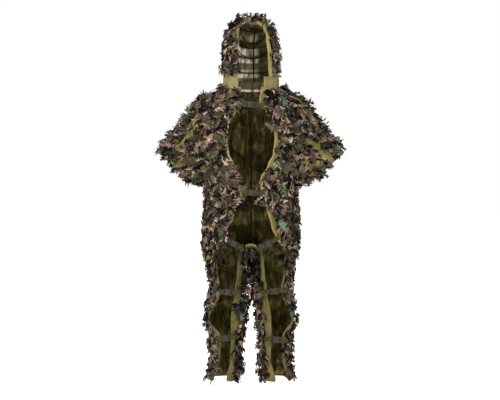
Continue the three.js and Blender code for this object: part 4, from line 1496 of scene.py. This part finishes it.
def strap_webbing(name, axes, origin, bar_x, reach, mirror, dip, tail):
    """One length of webbing from its sewn end to a buckle bar, and its cut length in metres."""
    x_axis, y_axis, z_axis = axes
    down = np.array([0, 0, -1.0])
    flip = -1 if mirror else 1
    local_down = np.array([flip * (down @ x_axis), 0, down @ z_axis])
    path, lift, sewn_count = webbing_path(reach, tail, normalised(local_down))
    # The sewn end drops to the hem that it is stitched to.
    dropping = min(30, reach * 0.75)
    share = np.clip((-path[:, 0] - (reach - dropping)) / dropping, 0, 1)
    drop = np.where(np.arange(len(path)) < sewn_count, share**2 * (3 - 2 * share), 0) * dip
    path[:, 1] += flip * drop
    basis = np.array([flip * x_axis, flip * y_axis, z_axis])

    def to_suit(values, place=True):
        moved = values @ basis
        return moved + origin + x_axis * bar_x if place else moved

    world = to_suit(path) * MM
    points, walls, caps, uv = ribbon(world, to_suit(lift, False), WEBBING_HALF_WIDTH, WEBBING_HALF_THICKNESS)
    outline = box_stitch(-reach + 2, -reach + min(16, reach * 0.5), 7.5)
    rise = np.interp(outline[:, 0], path[:sewn_count, 0], path[:sewn_count, 1])
    outward = -flip  # the suit's outside, in this frame's y
    outline[:, 1] = rise + outward * 0.85
    run = even_path(to_suit(outline) * MM, 0.0015)
    run_lift = np.tile(to_suit(np.array([0, float(outward), 0]), False), (len(run), 1))
    thread = stitches(run, run_lift, 0.003, 0.0022, 0.0004)
    made = sewn_object(name, (points, walls, caps), thread, uv, WEBBING)
    return made, float(np.linalg.norm(np.diff(world, axis=0), axis=1).sum())


def moulded(node, body, origin, x_axis, z_axis):
    """The buckle half with softened edges, in place of its plain solid."""
    mesh = bpy.data.objects[node].data.copy()
    made = bpy.data.objects.new(f"{node}_moulded", mesh)
    scene.collection.objects.link(made)
    work = bmesh.new()
    work.from_mesh(mesh)
    bmesh.ops.remove_doubles(work, verts=work.verts, dist=1e-5)
    bmesh.ops.dissolve_limit(work, angle_limit=math.radians(1), verts=work.verts, edges=work.edges)
    work.to_mesh(mesh)
    work.free()
    bevel = made.modifiers.new("edges", "BEVEL")
    bevel.width = 0.5 * MM
    bevel.segments = 2
    bevel.limit_method = "ANGLE"
    bevel.angle_limit = math.radians(28)
    bevel.harden_normals = False
    depsgraph = bpy.context.evaluated_depsgraph_get()
    made.data = bpy.data.meshes.new_from_object(made.evaluated_get(depsgraph))
    made.modifiers.clear()
    made.data.materials.clear()
    made.data.materials.append(PLASTIC)
    corners = np.array([made.data.vertices[loop.vertex_index].co for loop in made.data.loops]) - origin * MM
    layer = made.data.uv_layers.new(name="mould")
    places = np.stack([corners @ x_axis, corners @ z_axis], axis=1)
    layer.data.foreach_set("uv", places.astype(np.float32).ravel())
    made.data.shade_smooth()
    made.data.set_sharp_from_angle(angle=math.radians(35))
    fit(made, body, "buckle_plastic", node)


# Each strap: name, body, sewn ends on the socket's and the clip's side, the buckle's share of the way
# between them, and the lengths of the two loose tails.
STRAPS = [
    ("neck", "torso", [-62, -122, -28], [62, -122, -36], 0.5, 40, 0),
    ("waist", "torso", [-56, -143, -440], [62, -143, -448], 0.49, 0, 14),
    ("right_thigh", "torso", [-134, -128, -652], [-30, -94, -712], 0.5, 0, 26),
    ("left_thigh", "torso", [134, -128, -652], [30, -94, -712], 0.5, 0, 22),
    ("right_knee", "right_leg", *leg_strap_ends(-1, -908, -918), 0.5, 0, 6),
    ("left_knee", "left_leg", *leg_strap_ends(1, -904, -912), 0.5, 0, 0),
    ("right_calf", "right_leg", *leg_strap_ends(-1, -1136, -1126), 0.5, 0, 0),
    ("left_calf", "left_leg", *leg_strap_ends(1, -1144, -1132), 0.5, 0, 22),
]
CLOTH_POINTS = np.concatenate([points.reshape(-1, 3) for points in strap_bases])


def dip_to_cloth(end):
    """How far the cloth lies behind a strap's sewn end, less the hem's thickness, in mm."""
    place = np.array(end) * MM
    front = CLOTH_POINTS[CLOTH_POINTS[:, 1] < 0]
    nearest = np.hypot(front[:, 0] - place[0], front[:, 2] - place[2]).argmin()
    return float(np.clip((front[nearest, 1] - place[1]) / MM - HEM_DEPTH, 0, GREATEST_DIP))


for strap, body, socket_end, clip_end, share, socket_tail, clip_tail in STRAPS:
    socket_end, clip_end = np.array(socket_end, float), np.array(clip_end, float)
    length = np.linalg.norm(clip_end - socket_end)
    x_axis = (clip_end - socket_end) / length
    z_axis = normalised(np.array([0, 0, 1.0]) - x_axis * x_axis[2])
    y_axis = np.cross(z_axis, x_axis)
    origin = socket_end + x_axis * length * share
    axes = (x_axis, y_axis, z_axis)
    clip_body = f"{strap}_clip"
    moulded(f"{strap}_socket", body, origin, x_axis, z_axis)
    moulded(f"{strap}_clip", clip_body, origin, x_axis, z_axis)
    runs = (
        ("socket", SOCKET_BAR, length * share + SOCKET_BAR, False, socket_end, socket_tail),
        ("clip", CLIP_BAR, length * (1 - share) - CLIP_BAR, True, clip_end, clip_tail),
    )
    for end, bar_x, reach, mirror, sewn_end, tail in runs:
        made, cut = strap_webbing(
            f"{strap}_{end}_strap", axes, origin, bar_x, reach, mirror, dip_to_cloth(sewn_end), tail,
        )
        beside_bar = origin + x_axis * (CLIP_BAR + 2)
        hold = (body, clip_body, tuple(clip_end * MM), tuple(beside_bar * MM)) if mirror else body
        fit(made, hold, "strap_webbing", f"{strap}_{end}_webbing")

# ---- Floor ----



def floor_material():
    n = Nodes("floor_paper")
    n.colour(n.greys(n.noise(n.coordinates(), 3, 3.0), (0.3, 0.97), (0.7, 0.99)))
    n.shader.inputs["Emission Color"].default_value = (1, 1, 1, 1)
    n.shader.inputs["Emission Strength"].default_value = 0.6
    return n.finish(roughness=0.9)


FLOOR_GAP = 0.06
floor_z = float(suit_low[2]) - FLOOR_GAP
floor_corners = np.array([[-30, -12, floor_z], [30, -12, floor_z], [30, 40, floor_z], [-30, 40, floor_z]])
floor = mesh_object("floor", floor_corners, [np.array([[0, 1, 2, 3]])], [floor_material()], smooth=False)
